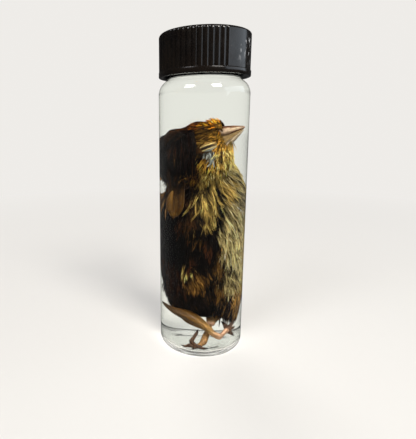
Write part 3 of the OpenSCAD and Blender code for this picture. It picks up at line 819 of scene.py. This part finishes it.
def strand_spike():
    """One spike of unit length: its vertices and its triangles"""
    bm = bmesh.new()
    bmesh.ops.create_cone(bm, cap_ends=True, segments=3, radius1=1, radius2=0.5, depth=1,
                          matrix=Matrix.Translation((0, 0, 0.5)))
    for i in range(1, STRAND_ROWS):
        bmesh.ops.bisect_plane(bm, geom=bm.verts[:] + bm.edges[:] + bm.faces[:],
                               plane_co=(0, 0, i / STRAND_ROWS), plane_no=(0, 0, 1))
    bmesh.ops.triangulate(bm, faces=bm.faces)
    bm.verts.index_update()
    verts = np.array([v.co for v in bm.verts])
    faces = np.array([[v.index for v in face.verts] for face in bm.faces])
    bm.free()
    return verts, faces


SPIKE, SPIKE_FACES = strand_spike()
SPIKE_ROW = np.rint(SPIKE[:, 2] * STRAND_ROWS).astype(int)
SPIKE_TURN = np.arctan2(SPIKE[:, 1], SPIKE[:, 0])
down = painted("soaked_down", 0.5, 0.03, 1500, 0)
print("strand", len(SPIKE), "vertices", len(SPIKE_FACES), "faces")

# %% Copy it along paths
def unit(v):
    """Vectors made one long"""
    return v / np.maximum(np.linalg.norm(v, axis=-1, keepdims=True), 1e-9)


def strands(name, paths, outward, widths, colours, slot):
    """The spike along each path, all as one piece, with a small place of its own on the map for each"""
    count = len(paths)
    run = unit(np.gradient(paths, axis=1))
    across = unit(np.cross(outward, run))
    over = np.cross(run, across)
    wide = (widths[:, None] * STRAND_TAPER)[:, SPIKE_ROW, None]
    places = paths[:, SPIKE_ROW] + wide * (np.cos(SPIKE_TURN)[:, None] * across[:, SPIKE_ROW]
                                           + 0.6 * np.sin(SPIKE_TURN)[:, None] * over[:, SPIKE_ROW])
    faces = SPIKE_FACES[None] + (np.arange(count) * len(SPIKE))[:, None, None]
    mesh = bpy.data.meshes.new(name)
    mesh.vertices.add(count * len(SPIKE))
    mesh.vertices.foreach_set("co", (places * MM).astype(np.float32).ravel())
    mesh.loops.add(faces.size)
    mesh.loops.foreach_set("vertex_index", faces.astype(np.int32).ravel())
    mesh.polygons.add(faces.size // 3)
    mesh.polygons.foreach_set("loop_start", np.arange(0, faces.size, 3, dtype=np.int32))
    mesh.polygons.foreach_set("use_smooth", np.ones(faces.size // 3, bool))
    mesh.update(calc_edges=True)
    shade = mesh.attributes.new("shade", "FLOAT_COLOR", "POINT")
    worn = np.concatenate([colours[:, SPIKE_ROW], np.ones((count, len(SPIKE), 1))], -1)
    shade.data.foreach_set("color", worn.astype(np.float32).ravel())
    cells = math.ceil(math.sqrt(count))
    cell = np.stack([np.arange(count) % cells, np.arange(count) // cells], -1)
    spot = np.stack([SPIKE_TURN / (2 * math.pi) + 0.5, SPIKE[:, 2]], -1)
    flat = (cell[:, None] + 0.15 + 0.7 * spot[None]) / cells
    layer = mesh.uv_layers.new(name="OFBake")
    layer.uv.foreach_set("vector", flat.reshape(-1, 2)[faces.ravel()].astype(np.float32).ravel())
    obj = bpy.data.objects.new(name, mesh)
    scene.collection.objects.link(obj)
    mesh.materials.append(down)
    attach(obj, "jar")
    print(name, count, "strands", len(mesh.polygons), "faces")

# %% [markdown]
# ## Where the down lies
# The body is close to round about the jar's axis, so a lock can be led in terms of an angle, a height
# and how far the body reaches there. The reach is found once, by rays sent from the glass towards the
# axis until they meet a skin. A lock starts at the skin, follows its flow, lifts a little towards its
# tip and never comes nearer to the glass than a thin film of fluid.

# %% Reach of the body
GLASS_CLEAR = INNER_R - 0.22
HEIGHT_STEP, TURN_STEP = 0.25, 2
HEIGHTS, TURNS = np.arange(8, 77, HEIGHT_STEP), np.arange(0, 360, TURN_STEP)


def skin_tree(name):
    """A skin made ready for asking where a ray meets it"""
    mesh = bpy.data.objects[name].data
    return BVHTree.FromPolygons([v.co for v in mesh.vertices], [face.vertices for face in mesh.polygons])


def reach_of(trees):
    """How far the skins reach from the axis at each height and angle, found by rays sent inwards"""
    far, start = np.zeros((len(HEIGHTS), len(TURNS))), 20 * MM
    for j, turn in enumerate(np.radians(TURNS)):
        way = Vector((math.cos(turn), math.sin(turn), 0))
        for i, z in enumerate(HEIGHTS):
            depths = [tree.ray_cast(way * start + Vector((0, 0, z * MM)), -way, start)[3] for tree in trees]
            far[i, j] = max([(start - depth) / MM for depth in depths if depth is not None], default=0)
    return far


SKINS = [skin_tree(name) for name in ("trunk_skin", "head_skin", "near_wing_lobes", "far_wing_lobes")]
HEAD_TREE, REACH = SKINS[1], reach_of(SKINS)


def reach(turn, z):
    """Reach between the worked-out heights and angles"""
    row = np.clip((z - HEIGHTS[0]) / HEIGHT_STEP, 0, len(HEIGHTS) - 1.001)
    col = (np.degrees(turn) % 360) / TURN_STEP
    i, j = row.astype(int), col.astype(int) % len(TURNS)
    u, v = row - i, col - np.floor(col)
    k = (j + 1) % len(TURNS)
    low = REACH[i, j] * (1 - v) + REACH[i, k] * v
    high = REACH[i + 1, j] * (1 - v) + REACH[i + 1, k] * v
    return low * (1 - u) + high * u


def comb(turn, z, flow, length, bend, lift_root, lift_tip, fall_in):
    """Paths of locks over the body along their flow; past an edge they fall in a little"""
    step = length / STRAND_ROWS
    rows, before = [], np.zeros_like(z)
    for t in ALONG:
        r = reach(turn, z) + lift_root + (lift_tip - lift_root) * t
        r = np.minimum(np.maximum(r, before - fall_in * step), GLASS_CLEAR)
        rows.append(np.stack([r * np.cos(turn), r * np.sin(turn), z], -1))
        heading = flow + bend * t
        turn = turn + step * np.cos(heading) / np.maximum(r, 3)
        z = z + step * np.sin(heading)
        before = r
    return np.stack(rows, 1)


print("reach", round(float(REACH.max()), 2))

# %% [markdown]
# ## Colours of the coat
# The coat is described by patches, each with a middle, a size, a colour, the way its locks lie and
# their length. A lock takes the colour of one patch near it, picked by nearness, so
# that patches mix at their edges as real down does. Angles: 0 is to the right, 180 to the left,
# 270 straight down, seen from the near side.

# %% Patches of the head
ORANGE, RUST, RUSSET = linear(226, 134, 24), linear(128, 68, 20), linear(78, 44, 20)
BROWN, BLACK, TAN = linear(58, 36, 17), linear(18, 12, 8), linear(176, 128, 62)
GOLD, OLIVE, STRAW = linear(206, 150, 56), linear(160, 122, 54), linear(236, 196, 106)
CREAM, ASH, BLUE_GREY = linear(226, 200, 134), linear(170, 152, 104), linear(160, 168, 164)
# Each patch: x, z, half width, half height, colour, flow, length
HEAD_PATCHES = [
    (2.3, 73.0, 2.2, 1.3, ORANGE * 1.2, 160, 3.0), (3.0, 73.2, 1.2, 0.8, STRAW, 150, 2.2),
    (0.6, 72.7, 0.6, 0.6, BLACK, 170, 2.4), (-2.0, 72.3, 2.0, 1.0, RUST, 185, 4.0),
    (-6.0, 71.3, 2.5, 1.2, BROWN, 200, 4.0), (-1.8, 70.6, 0.8, 1.4, BLACK, 215, 2.4),
    (1.2, 70.0, 1.6, 1.3, GOLD * 0.22, 200, 2.6), (2.0, 71.4, 0.8, 0.5, BLACK, 190, 2.0),
    (4.2, 71.7, 0.6, 0.5, BLACK, 170, 1.6), (4.0, 69.4, 1.3, 1.6, GOLD * 0.55, 195, 2.0),
    (0.8, 68.4, 1.8, 0.8, OLIVE * 0.5, 195, 2.2), (4.3, 66.4, 1.1, 1.3, GOLD * 0.8, 215, 1.5),
    (4.0, 64.2, 0.7, 0.3, BLACK, 190, 1.8), (2.6, 64.3, 0.9, 0.7, BLUE_GREY, 255, 1.6),
    (5.8, 65.2, 0.9, 1.0, STRAW, 285, 1.8),
    (-1.8, 66.5, 1.0, 1.6, OLIVE * 0.6, 220, 2.6), (-1.5, 62.4, 1.2, 1.2, BLACK, 250, 2.4),
    (2.4, 62.4, 0.5, 1.2, BLUE_GREY, 250, 2.0), (0.2, 61.0, 2.0, 1.5, GOLD, 244, 3.0),
    (5.8, 62.5, 1.8, 2.5, STRAW * 1.4, 290, 3.2), (3.6, 58.6, 1.8, 2.0, STRAW * 1.4, 272, 3.2),
    (3.4, 61.2, 1.0, 1.2, GOLD * 1.2, 262, 2.6), (4.3, 62.8, 0.35, 0.8, BLACK, 275, 2.4),
    (1.4, 60.6, 0.4, 1.0, BLACK, 248, 2.6), (3.0, 59.8, 0.3, 0.9, BLACK, 265, 2.4),
    (8.4, 60.5, 1.4, 1.6, ASH * 1.2, 310, 4.5),
    (-1.0, 58.0, 2.2, 2.0, GOLD * 0.8, 245, 3.2), (-3.2, 59.5, 1.0, 2.0, OLIVE * 0.6, 238, 2.4),
    (0.2, 58.6, 0.7, 0.5, BLACK, 262, 2.0), (-5.5, 64.0, 2.0, 6.0, BLACK, 268, 5.0)]
print(len(HEAD_PATCHES), "patches on the head")

# %% Patches of the body
BODY_PATCHES = [
    # The first patch, black under the ruff, is a painted shadow that the ruff casts.
    (-1.2, 54.0, 1.8, 1.2, BLACK, 270, 3.0), (0.6, 50.4, 2.4, 3.2, STRAW * 0.55, 275, 6.0),
    (4.6, 55.0, 1.4, 2.4, STRAW * 0.5, 296, 5.0), (3.0, 54.0, 0.6, 1.6, BLACK * 1.5, 285, 4.0),
    (-0.8, 47.0, 0.8, 2.5, BLACK * 1.5, 272, 5.0), (2.4, 45.5, 0.7, 2.0, BLACK, 276, 4.0),
    (-3.2, 49.0, 1.5, 4.0, BROWN, 272, 5.0), (8.8, 58.0, 2.0, 3.0, ASH * 1.2, 310, 5.5),
    (7.6, 52.0, 2.6, 3.0, ASH * 1.1, 318, 6.0), (8.0, 45.0, 2.5, 3.0, CREAM, 300, 6.0),
    (4.2, 48.0, 0.7, 1.8, BLACK, 280, 4.0), (0.5, 42.9, 3.5, 1.8, BLACK, 268, 3.5),
    (5.2, 41.0, 1.2, 1.2, CREAM, 290, 4.0), (-6.5, 38.0, 3.0, 4.5, BLACK * 0.7, 265, 6.0),
    (-0.5, 40.5, 1.4, 1.0, TAN * 0.35, 266, 5.0), (0.0, 35.5, 3.4, 3.4, BLACK, 268, 5.0),
    (1.6, 37.0, 0.7, 2.5, RUSSET, 266, 5.0), (-2.4, 33.5, 0.5, 2.5, RUSSET * 0.8, 270, 5.0),
    (-5.4, 41.6, 0.8, 2.2, RUSSET, 260, 5.0), (-3.6, 43.8, 0.7, 1.4, TAN * 0.3, 256, 4.0),
    (8.0, 37.0, 2.2, 4.5, CREAM, 275, 6.0), (4.6, 34.0, 1.0, 3.0, TAN * 0.4, 262, 5.0),
    (7.5, 30.0, 1.3, 1.2, BLACK, 285, 4.0), (7.5, 25.0, 1.8, 2.5, CREAM * 0.7, 280, 5.0),
    (6.4, 17.5, 1.8, 1.6, BLACK, 275, 4.0), (9.8, 19.0, 1.0, 4.0, STRAW * 0.5, 280, 4.5),
    (-8.0, 28.0, 1.6, 4.0, RUSSET * 0.35, 276, 6.0), (-10.0, 25.0, 1.0, 6.0, BLACK, 275, 6.0),
    (-6.3, 18.0, 2.5, 2.2, BLACK, 290, 5.0), (-1.7, 26.0, 2.3, 2.4, TAN * 0.5, 284, 5.0),
    (-4.0, 29.7, 0.6, 1.4, STRAW * 0.8, 268, 4.0), (2.8, 27.5, 1.5, 3.4, BLACK * 1.5, 272, 5.0),
    (-0.5, 20.5, 3.0, 3.0, BLACK * 2, 284, 5.0), (0.7, 16.5, 2.5, 1.6, BLACK, 280, 4.0),
    (0.8, 19.5, 0.5, 2.5, TAN * 0.25, 284, 5.0), (-2.8, 19.5, 0.5, 2.5, TAN * 0.2, 286, 5.0),
    (4.6, 22.0, 1.2, 3.0, TAN * 0.4, 276, 5.0), (8.0, 14.0, 2.5, 1.5, TAN * 0.6, 268, 6.0)]
BACK_PATCHES = [
    (8.0, 40.0, 3.0, 22.0, STRAW * 0.5, 270, 5.5), (3.0, 40.0, 2.4, 22.0, BROWN, 270, 5.5),
    (-1.0, 40.0, 1.6, 22.0, TAN * 0.7, 270, 5.5), (-4.0, 40.0, 2.0, 22.0, BLACK, 270, 6.0),
    (-7.0, 40.0, 1.2, 22.0, TAN * 0.6, 270, 6.0), (-10.0, 40.0, 2.0, 22.0, BLACK, 270, 6.0)]
print(len(BODY_PATCHES) + len(BACK_PATCHES), "patches on the body")

# %% [markdown]
# ## Growing locks
# Roots are scattered by a seeded generator. Each lock gets its flow, length and colour from the
# patches, and a few strands that start apart and come together at the tip, as wet down does. Roots
# are painted nearly black as shade deep in the coat and tips brighter as painted light, which gives
# wet down its contrast.

# %% Locks and their strands
rng = np.random.default_rng(27)
CLOSE_IN, SHADE_RANGE = 0.65, (0.0012, 0.9)


def pick_patch(x, z, patches):
    """For each root: the patch it takes, its flow as an angle and its length"""
    table = np.array([p[:4] for p in patches])
    off = ((x[:, None] - table[:, 0]) / table[:, 2]) ** 2 + ((z[:, None] - table[:, 1]) / table[:, 3]) ** 2
    near = np.exp(-(off - off.min(1, keepdims=True)))
    share = near ** 1.5
    share = np.cumsum(share / share.sum(1, keepdims=True), 1)
    pick = (rng.random(len(x))[:, None] > share).sum(1).clip(0, len(patches) - 1)
    way = np.radians([p[5] for p in patches])
    flow = np.arctan2(near @ np.sin(way), near @ np.cos(way))
    length = np.array([p[6] for p in patches])[pick]
    return pick, flow, length


def fan_out(paths, colours, each, spread, widths):
    """Each lock's path split into strands that meet at its tip"""
    count = len(paths) * each
    outward = unit(paths * np.array([1, 1, 0]))
    aside = unit(np.cross(outward, unit(np.gradient(paths, axis=1))))
    paths, outward, aside, colours = (np.repeat(a, each, 0) for a in (paths, outward, aside, colours))
    apart = rng.uniform(-spread, spread, count)[:, None] * (1 - CLOSE_IN * ALONG)
    apart = apart + rng.normal(0, 0.06, (count, 1)) * np.sin(5 * ALONG)
    slide = rng.uniform(-spread, spread, count)
    run = unit(paths[:, -1] - paths[:, 0])
    paths = paths + aside * apart[:, :, None] + (run * slide[:, None])[:, None]
    paths = paths + outward * rng.uniform(-0.1, 0.16, count)[:, None, None]
    far = np.linalg.norm(paths[:, :, :2], axis=-1, keepdims=True)
    paths[:, :, :2] *= np.minimum(1, GLASS_CLEAR / far)
    # Painted shade at the roots and painted light at the tips, along each strand.
    tone = np.interp(ALONG, [0, 0.3, 0.6, 1], [0.06, 0.22, 0.9, 1.2])[None, :, None]
    bright = np.exp(rng.normal(0, 0.4, count))
    bright = np.where(rng.random(count) < 0.22, bright * 0.25, bright)
    shades = colours[:, None] * tone * bright[:, None, None]
    return paths, outward, rng.uniform(*widths, count), np.clip(shades, *SHADE_RANGE)


LEG_X = [-11, -8, -5, -3, 0, 5.5, 7, 8.5, 10.5]
LEG_TOP = [15, 14.6, 14.8, 14.5, 13.5, 13.2, 11, 8.6, 7.6]
SHORTEST, UNLIMITED = 0.9, 99


def room_below(x, y, z):
    """How far a lock on the near side may hang before it would cover the drumsticks"""
    room = np.maximum(z - np.interp(x, LEG_X, LEG_TOP) + 0.3, SHORTEST)
    return np.where(y < 0, room, UNLIMITED)


def grow(name, turn, z, patches, slot, each, spread, widths, lifts, mirrored=False, fall_in=0.3):
    """Locks from roots at angles and heights, as one piece"""
    r = reach(turn, z)
    x = r * np.cos(turn)
    pick, flow, length = pick_patch(x, z, patches)
    if mirrored:
        flow = np.where(np.sin(turn) > 0, math.pi - flow, flow)
    count = len(z)
    flow = flow + rng.normal(0, 0.16, count)
    length = np.minimum(length * rng.uniform(0.75, 1.2, count), room_below(x, np.sin(turn), z))
    paths = comb(turn, z, flow, length, rng.normal(0, 0.3, count),
                 rng.uniform(-0.1, 0.1, count), rng.uniform(*lifts, count), fall_in)
    tone = np.exp(rng.normal(0, 0.4, count)) * np.where(rng.random(count) < 0.25, 0.15, 1)
    colours = np.array([p[4] for p in patches])[pick] * tone[:, None]
    strands(name, *fan_out(paths, colours, each, spread, widths), slot)


def scatter(count, turns, heights):
    """Roots scattered evenly over the body between two angles and two heights"""
    turn = np.radians(rng.uniform(*turns, count * 2))
    z = rng.uniform(*heights, count * 2)
    keep = rng.random(count * 2) < reach(turn, z) / 12
    return turn[keep][:count], z[keep][:count]


print("generator seeded with 27")

# %% [markdown]
# ## Down of the body
# Breast, belly and vent are pieces of their own, as is the back, so that each keeps to a sensible
# number of faces. The bare lobes of the wings stay free. Under the body the fluff hangs straighter
# than elsewhere: it floats in the fluid and reaches down beside the legs and along the glass.

# %% Breast, belly, vent and back
LOBE_X, LOBE_LOW, LOBE_HIGH = -4.4, 45.2, 58


def clear_of_lobes(turn, z):
    """True where a root lies outside the bare lobes of the wings"""
    x = reach(turn, z) * np.cos(turn)
    return ~((x < LOBE_X) & (abs(np.sin(turn)) > 0.4) & (z > LOBE_LOW) & (z < LOBE_HIGH))


for name, heights in [("breast_down", (46, 62)), ("belly_down", (30, 48)), ("vent_down", (14, 32))]:
    turn, z = scatter(1000, (172, 372), heights)
    keep = clear_of_lobes(turn, z)
    grow(name, turn[keep], z[keep], BODY_PATCHES, "dark_down", 6, 0.5, (0.04, 0.085), (0.2, 0.9))
turn, z = scatter(1100, (5, 180), (14, 62))
keep = clear_of_lobes(turn, z)
grow("back_down", turn[keep], z[keep], BACK_PATCHES, "dark_down", 6, 0.6, (0.07, 0.13), (0.2, 0.9))

# %% Fluff under the body
FLUFF_PATCHES = [
    (8.0, 14.0, 2.5, 2.0, TAN * 0.45, 268, 7.0), (10.0, 13.0, 1.5, 2.0, STRAW * 0.4, 265, 7.0),
    (6.0, 15.0, 2.0, 1.5, BLACK, 272, 6.0), (8.5, 16.5, 2.0, 1.0, BROWN, 270, 8.0),
    (-6.5, 17.0, 2.5, 1.5, BLACK, 255, 4.0), (-8.0, 18.5, 1.5, 2.0, RUSSET * 0.25, 265, 4.0),
    (-4.0, 15.5, 2.0, 1.0, BROWN * 0.3, 260, 3.0), (9.6, 19.5, 1.0, 2.0, TAN * 0.6, 268, 10.0),
    (8.4, 19.0, 1.0, 2.0, BLACK, 268, 9.0), (10.6, 18.5, 0.6, 2.0, STRAW * 0.5, 268, 10.0)]
turn, z = np.hstack([scatter(300, (-60, 60), (12.6, 17)), scatter(260, (-52, 40), (16, 22)),
                     scatter(330, (150, 235), (14.5, 21))])
grow("tail_down", turn, z, FLUFF_PATCHES, "dark_down", 6, 0.5, (0.05, 0.1), (0.1, 1.6), fall_in=0.08)

# %% [markdown]
# ## Down of the head
# Short locks cover face and cheeks and end in a ruff over the throat. They leave the closed lids and
# the root of the bill bare. Locks of their own hang from the lower bill and make the chin.

# %% Face and ruff
EYE_X, EYE_Z = 0.9, 65.7


def clear_of_eyes(turn, z):
    """True where a root lies outside the closed lids and the root of the bill"""
    x, up = reach(turn, z) * np.cos(turn) - EYE_X, z - EYE_Z
    along = x * math.cos(EYE_TILT) + up * math.sin(EYE_TILT)
    over = up * math.cos(EYE_TILT) - x * math.sin(EYE_TILT)
    on_lids = ((along + 0.1) / LID_L) ** 2 + ((over - 0.4) / 1.3) ** 2 < 1
    at_bill = (abs(np.sin(turn)) < 0.24) & (np.cos(turn) > 0) & (z > 66)
    return ~(on_lids & (abs(np.sin(turn)) > 0.6)) & ~at_bill


def ruff_edge(turn, z):
    """Lower edge of the ruff, which hangs deepest under the ear and rises towards the throat"""
    return np.interp(reach(turn, z) * np.cos(turn), [-4, -0.5, 2.5, 5.5, 8], [58.3, 56, 56.6, 59, 62])


for side, turns in [("near", (175, 365)), ("far", (5, 180))]:
    for part, heights in [("face", (63.5, 72)), ("ruff", (55.5, 63.5))]:
        turn, z = scatter(1200, turns, heights)
        keep = clear_of_eyes(turn, z) & (z > ruff_edge(turn, z))
        grow(f"{side}_{part}_down", turn[keep], z[keep], HEAD_PATCHES, "golden_down", 4, 0.3,
             (0.04, 0.08), (0.1, 0.6), mirrored=True)

# %% Chin
CHIN_ROOT, CHIN_RUN = (4.36, 64.8), (5.1, 5.94)


def chin(count):
    """Locks that hang from the underside of the lower bill and swell out to the throat"""
    along = rng.uniform(-0.1, 0.44, count)
    x, z = (root + run * along for root, run in zip(CHIN_ROOT, CHIN_RUN))
    y = rng.uniform(-1.7, 1.7, count)
    length = 2.2 + 4.5 * np.maximum(along, 0) + rng.uniform(-1.4, 1.0, count)
    drift = rng.normal(0.15, 0.25, count) - 1.2 * (along < 0.1)
    rows = []
    for t in ALONG:
        rows.append(np.stack([x + drift * t, y * (1 + 0.8 * t) - 0.5, z - length * t], -1))
    return np.stack(rows, 1)


paths = chin(380)
shares = rng.random(len(paths))[:, None]
colours = np.where(shares < 0.55, STRAW, np.where(shares < 0.9, GOLD, BROWN))
strands("chin_down", *fan_out(paths, colours, 4, 0.45, (0.035, 0.07)), "golden_down")

# %% [markdown]
# ## Crown and curtain
# Over the crown the locks run back along a ridge that falls towards the nape. From there a curtain
# of long wet strands hangs straight down the back, almost black with a few red-brown streaks.

# %% Crown
RIDGE_X = [-11, -8.6, -8.0, -5.5, -2.1, 0, 2.1, 3.4, 4.8]
RIDGE_Z = [64.5, 68.9, 69.9, 70.9, 72.1, 72.7, 73.2, 73.0, 71.9]


def roof(x, y):
    """Height of the crown, a ridge that falls off to both sides and stays above the skin of the head"""
    ridge = np.interp(x, RIDGE_X, RIDGE_Z) - (y + 0.6) ** 2 / 9
    fall = Vector((0, 0, -1))
    hits = [HEAD_TREE.ray_cast(Vector((p, q, 90)) * MM, fall)[0] for p, q in zip(x, y)]
    return np.maximum(ridge, [hit.z / MM + 0.05 if hit else 0 for hit in hits])


count = 1100
x, y = rng.uniform(-8.5, 4.6, count), rng.uniform(-5, 3.6, count)
pick, flow, length = pick_patch(x, roof(x, y), HEAD_PATCHES)
heading = math.pi + (y + 0.6) * 0.12 + rng.normal(0, 0.25, count)
tuft = (x > 1.6) & (rng.random(count) < 0.45)
lift = rng.uniform(-0.1, 0.1, count) + tuft * rng.uniform(0.3, 1.1, count)
length = length * np.where(tuft, 0.4, 1)
rows = []
for t in ALONG:
    px = x + length * t * np.cos(heading)
    py = y + length * t * np.sin(heading)
    rows.append(np.stack([px, py, roof(px, py) + lift * t], -1))
paths = np.stack(rows, 1)
tone = np.exp(rng.normal(0.1, 0.4, count)) * np.where(rng.random(count) < 0.2, 0.2, 1)
colours = np.array([p[4] for p in HEAD_PATCHES])[pick] * tone[:, None]
strands("crown_down", *fan_out(paths, colours, 5, 0.35, (0.04, 0.08)), "golden_down")

# %% Curtain
CURTAIN_EACH = 4


def hang(side, count):
    """Long strands that leave the roof of the nape, swing out to the glass and hang down along it"""
    x = rng.uniform(-10.2 if side < 0 else -8.7, -2.6, count)
    start = -0.6 + side * rng.uniform(0.5, 4.5, count)
    glass = GLASS_CLEAR - rng.uniform(0, 1.2, count)
    end = side * np.sqrt(glass ** 2 - x ** 2)
    top = roof(x - (side > 0), start) - rng.uniform(0.4, 1.8, count)
    end_z = np.interp(x, [-10.8, -9.6, -8.6, -5], [62, 59.5, 57.2, 57.5]) + rng.exponential(1.6, count)
    length = top - end_z
    drift = rng.normal(0.3, 0.4, count)
    rows = []
    for t in ALONG:
        out = math.sin(min(t / 0.6, 1) * math.pi / 2)
        rows.append(np.stack([x + drift * t, start + (end - start) * out, top - length * t], -1))
    return np.stack(rows, 1)


for name, side in [("near_curtain", -1), ("far_curtain", 1)]:
    paths = hang(side, 560)
    dark = rng.random(len(paths))[:, None]
    colours = np.where(dark < 0.8, BLACK * 0.5, np.where(dark < 0.97, RUSSET * 0.3, TAN * 0.3))
    paths, outward, widths, shades = fan_out(paths, colours, CURTAIN_EACH, 0.4, (0.06, 0.13))
    shades = np.clip(shades + 0.4 * np.repeat(colours, CURTAIN_EACH, 0)[:, None], *SHADE_RANGE)
    strands(name, paths, outward, widths, shades, "wing_down")

# %% [markdown]
# ## Stage
# A pale floor runs back to a wall of the same tone, which the world shows. Rays that come straight or
# through glass see that wall. Rays that the bird has scattered don't, because its light would lie over
# the jar as a grey veil.

# %% Stage
stage_bm = bmesh.new()
bmesh.ops.create_grid(stage_bm, x_segments=1, y_segments=1, size=1.5)
sweep_mesh = bpy.data.meshes.new("sweep")
stage_bm.to_mesh(sweep_mesh)
stage_bm.free()
sweep = bpy.data.objects.new("sweep", sweep_mesh)
scene.collection.objects.link(sweep)
WALL_TONE = (0.86, 0.84, 0.81, 1)


def maths(nodes, links, kind, a, b):
    """A math node on two values, each a socket or a number"""
    node = nodes.new("ShaderNodeMath")
    node.operation = kind
    for socket, value in zip(node.inputs, (a, b)):
        if hasattr(value, "links"):
            links.new(value, socket)
        else:
            socket.default_value = value
    return node.outputs[0]


def seen_rays(nodes, links, in_reflections):
    """One for rays that show a background straight or through glass, and a share of it in reflections"""
    path = nodes.new("ShaderNodeLightPath").outputs
    seen = maths(nodes, links, "MAXIMUM", path["Is Camera Ray"], path["Is Transmission Ray"])
    mirrored = maths(nodes, links, "MULTIPLY", path["Is Glossy Ray"], in_reflections)
    seen = maths(nodes, links, "MAXIMUM", seen, mirrored)
    unscattered = ramp(nodes, links, path["Diffuse Depth"], [(0, (1.0,)), (1, (0.0,))])
    return maths(nodes, links, "MULTIPLY", seen, unscattered.outputs["Color"])


paper, nodes, links, body = shader("pale_paper", 0.8, (0.6, 0.59, 0.57))
place = nodes.new("ShaderNodeTexCoord").outputs["Object"]
away = nodes.new("ShaderNodeVectorMath")
away.operation = "LENGTH"
links.new(place, away.inputs[0])
fade = ramp(nodes, links, away.outputs["Value"], [(0.02, (0.3,)), (0.35, (1.0,))])
share = maths(nodes, links, "MULTIPLY", fade.outputs["Color"], seen_rays(nodes, links, 0.4))
glow = nodes.new("ShaderNodeEmission")
glow.inputs["Color"].default_value = WALL_TONE
crossed(nodes, links, share, body, glow, nodes["Material Output"])
sweep_mesh.materials.append(paper)
sweep.visible_glossy = False
print("stage", sweep.name)

# %% [markdown]
# ## Camera
# The camera stands where the photograph was taken from, close to the jar and above its middle, and
# looks down a little. Its numbers are in pixels of the photograph, whose height is the longer side.

# %% Camera
PHOTO_H, FOCAL_PX, SHIFT_PX, SENSOR = 439, 391.34, 50, 36
camera = bpy.data.objects.new("camera", bpy.data.cameras.new("camera"))
scene.collection.objects.link(camera)
scene.camera = camera
pitch, yaw, roll = math.radians(13.143), math.radians(-6.592), math.radians(-0.587)
ahead = Vector((math.sin(yaw) * math.cos(pitch), math.cos(yaw) * math.cos(pitch), -math.sin(pitch)))
right = Vector((math.cos(yaw), -math.sin(yaw), 0))
up = right.cross(ahead)
right, up = right * math.cos(roll) + up * math.sin(roll), up * math.cos(roll) - right * math.sin(roll)
turn = Matrix((right, up, -ahead)).transposed()
camera.matrix_world = Matrix.Translation(Vector((0, -125.19, 71.46)) * MM) @ turn.to_4x4()
camera.data.sensor_width = SENSOR
camera.data.lens = FOCAL_PX * SENSOR / PHOTO_H
camera.data.shift_x = SHIFT_PX / PHOTO_H
camera.data.clip_start = 0.005
camera.data.clip_end = 20
print("camera", [round(x, 3) for x in camera.matrix_world.translation], "lens", round(camera.data.lens, 2))

# %% [markdown]
# ## Light
# Key and fill light the jar from the front and show as highlights on its shoulder. A low wide window
# shows in the cap's ribs and plain panel. A weak lamp behind keeps the bird's back from going black.

# %% Light
world = bpy.data.worlds.new("room")
scene.world = world
world.use_nodes = True
nodes, links = world.node_tree.nodes, world.node_tree.links
room = nodes["Background"]
room.inputs["Color"].default_value = (0.95, 0.96, 1.0, 1)
room.inputs["Strength"].default_value = 0.035
wall = nodes.new("ShaderNodeBackground")
wall.inputs["Color"].default_value = WALL_TONE
wall.inputs["Strength"].default_value = 1.0
crossed(nodes, links, seen_rays(nodes, links, 0.02), room, wall, nodes["World Output"])
JAR_MIDDLE = Vector((0, 0, 0.05))


def lamp(name, place, watts, size, colour, height=None):
    """A soft lamp, square unless its height is given, that looks at the jar's middle"""
    light = bpy.data.lights.new(name, "AREA")
    light.energy, light.size, light.color = watts, size, colour
    light.shape, light.size_y = "RECTANGLE", height or size
    obj = bpy.data.objects.new(name, light)
    obj.location = place
    obj.rotation_euler = (JAR_MIDDLE - Vector(place)).to_track_quat("-Z", "Y").to_euler()
    obj.visible_transmission = False
    scene.collection.objects.link(obj)
    print("lamp", name, watts, "W")
    return obj


lamp("key", (0.3, -0.4, 0.55), 6.6, 0.25, (1.0, 0.96, 0.9))
lamp("fill", (-0.4, -0.45, 0.6), 3.4, 0.3, (0.97, 0.97, 1.0))
lamp("window", (0.5, -0.04, 0.25), 0.85, 0.64, (0.8, 0.9, 1.0), 0.22)
behind = lamp("back", (-0.2, 0.5, 0.5), 2.6, 0.35, (1.0, 0.97, 0.93))
behind.visible_glossy = False
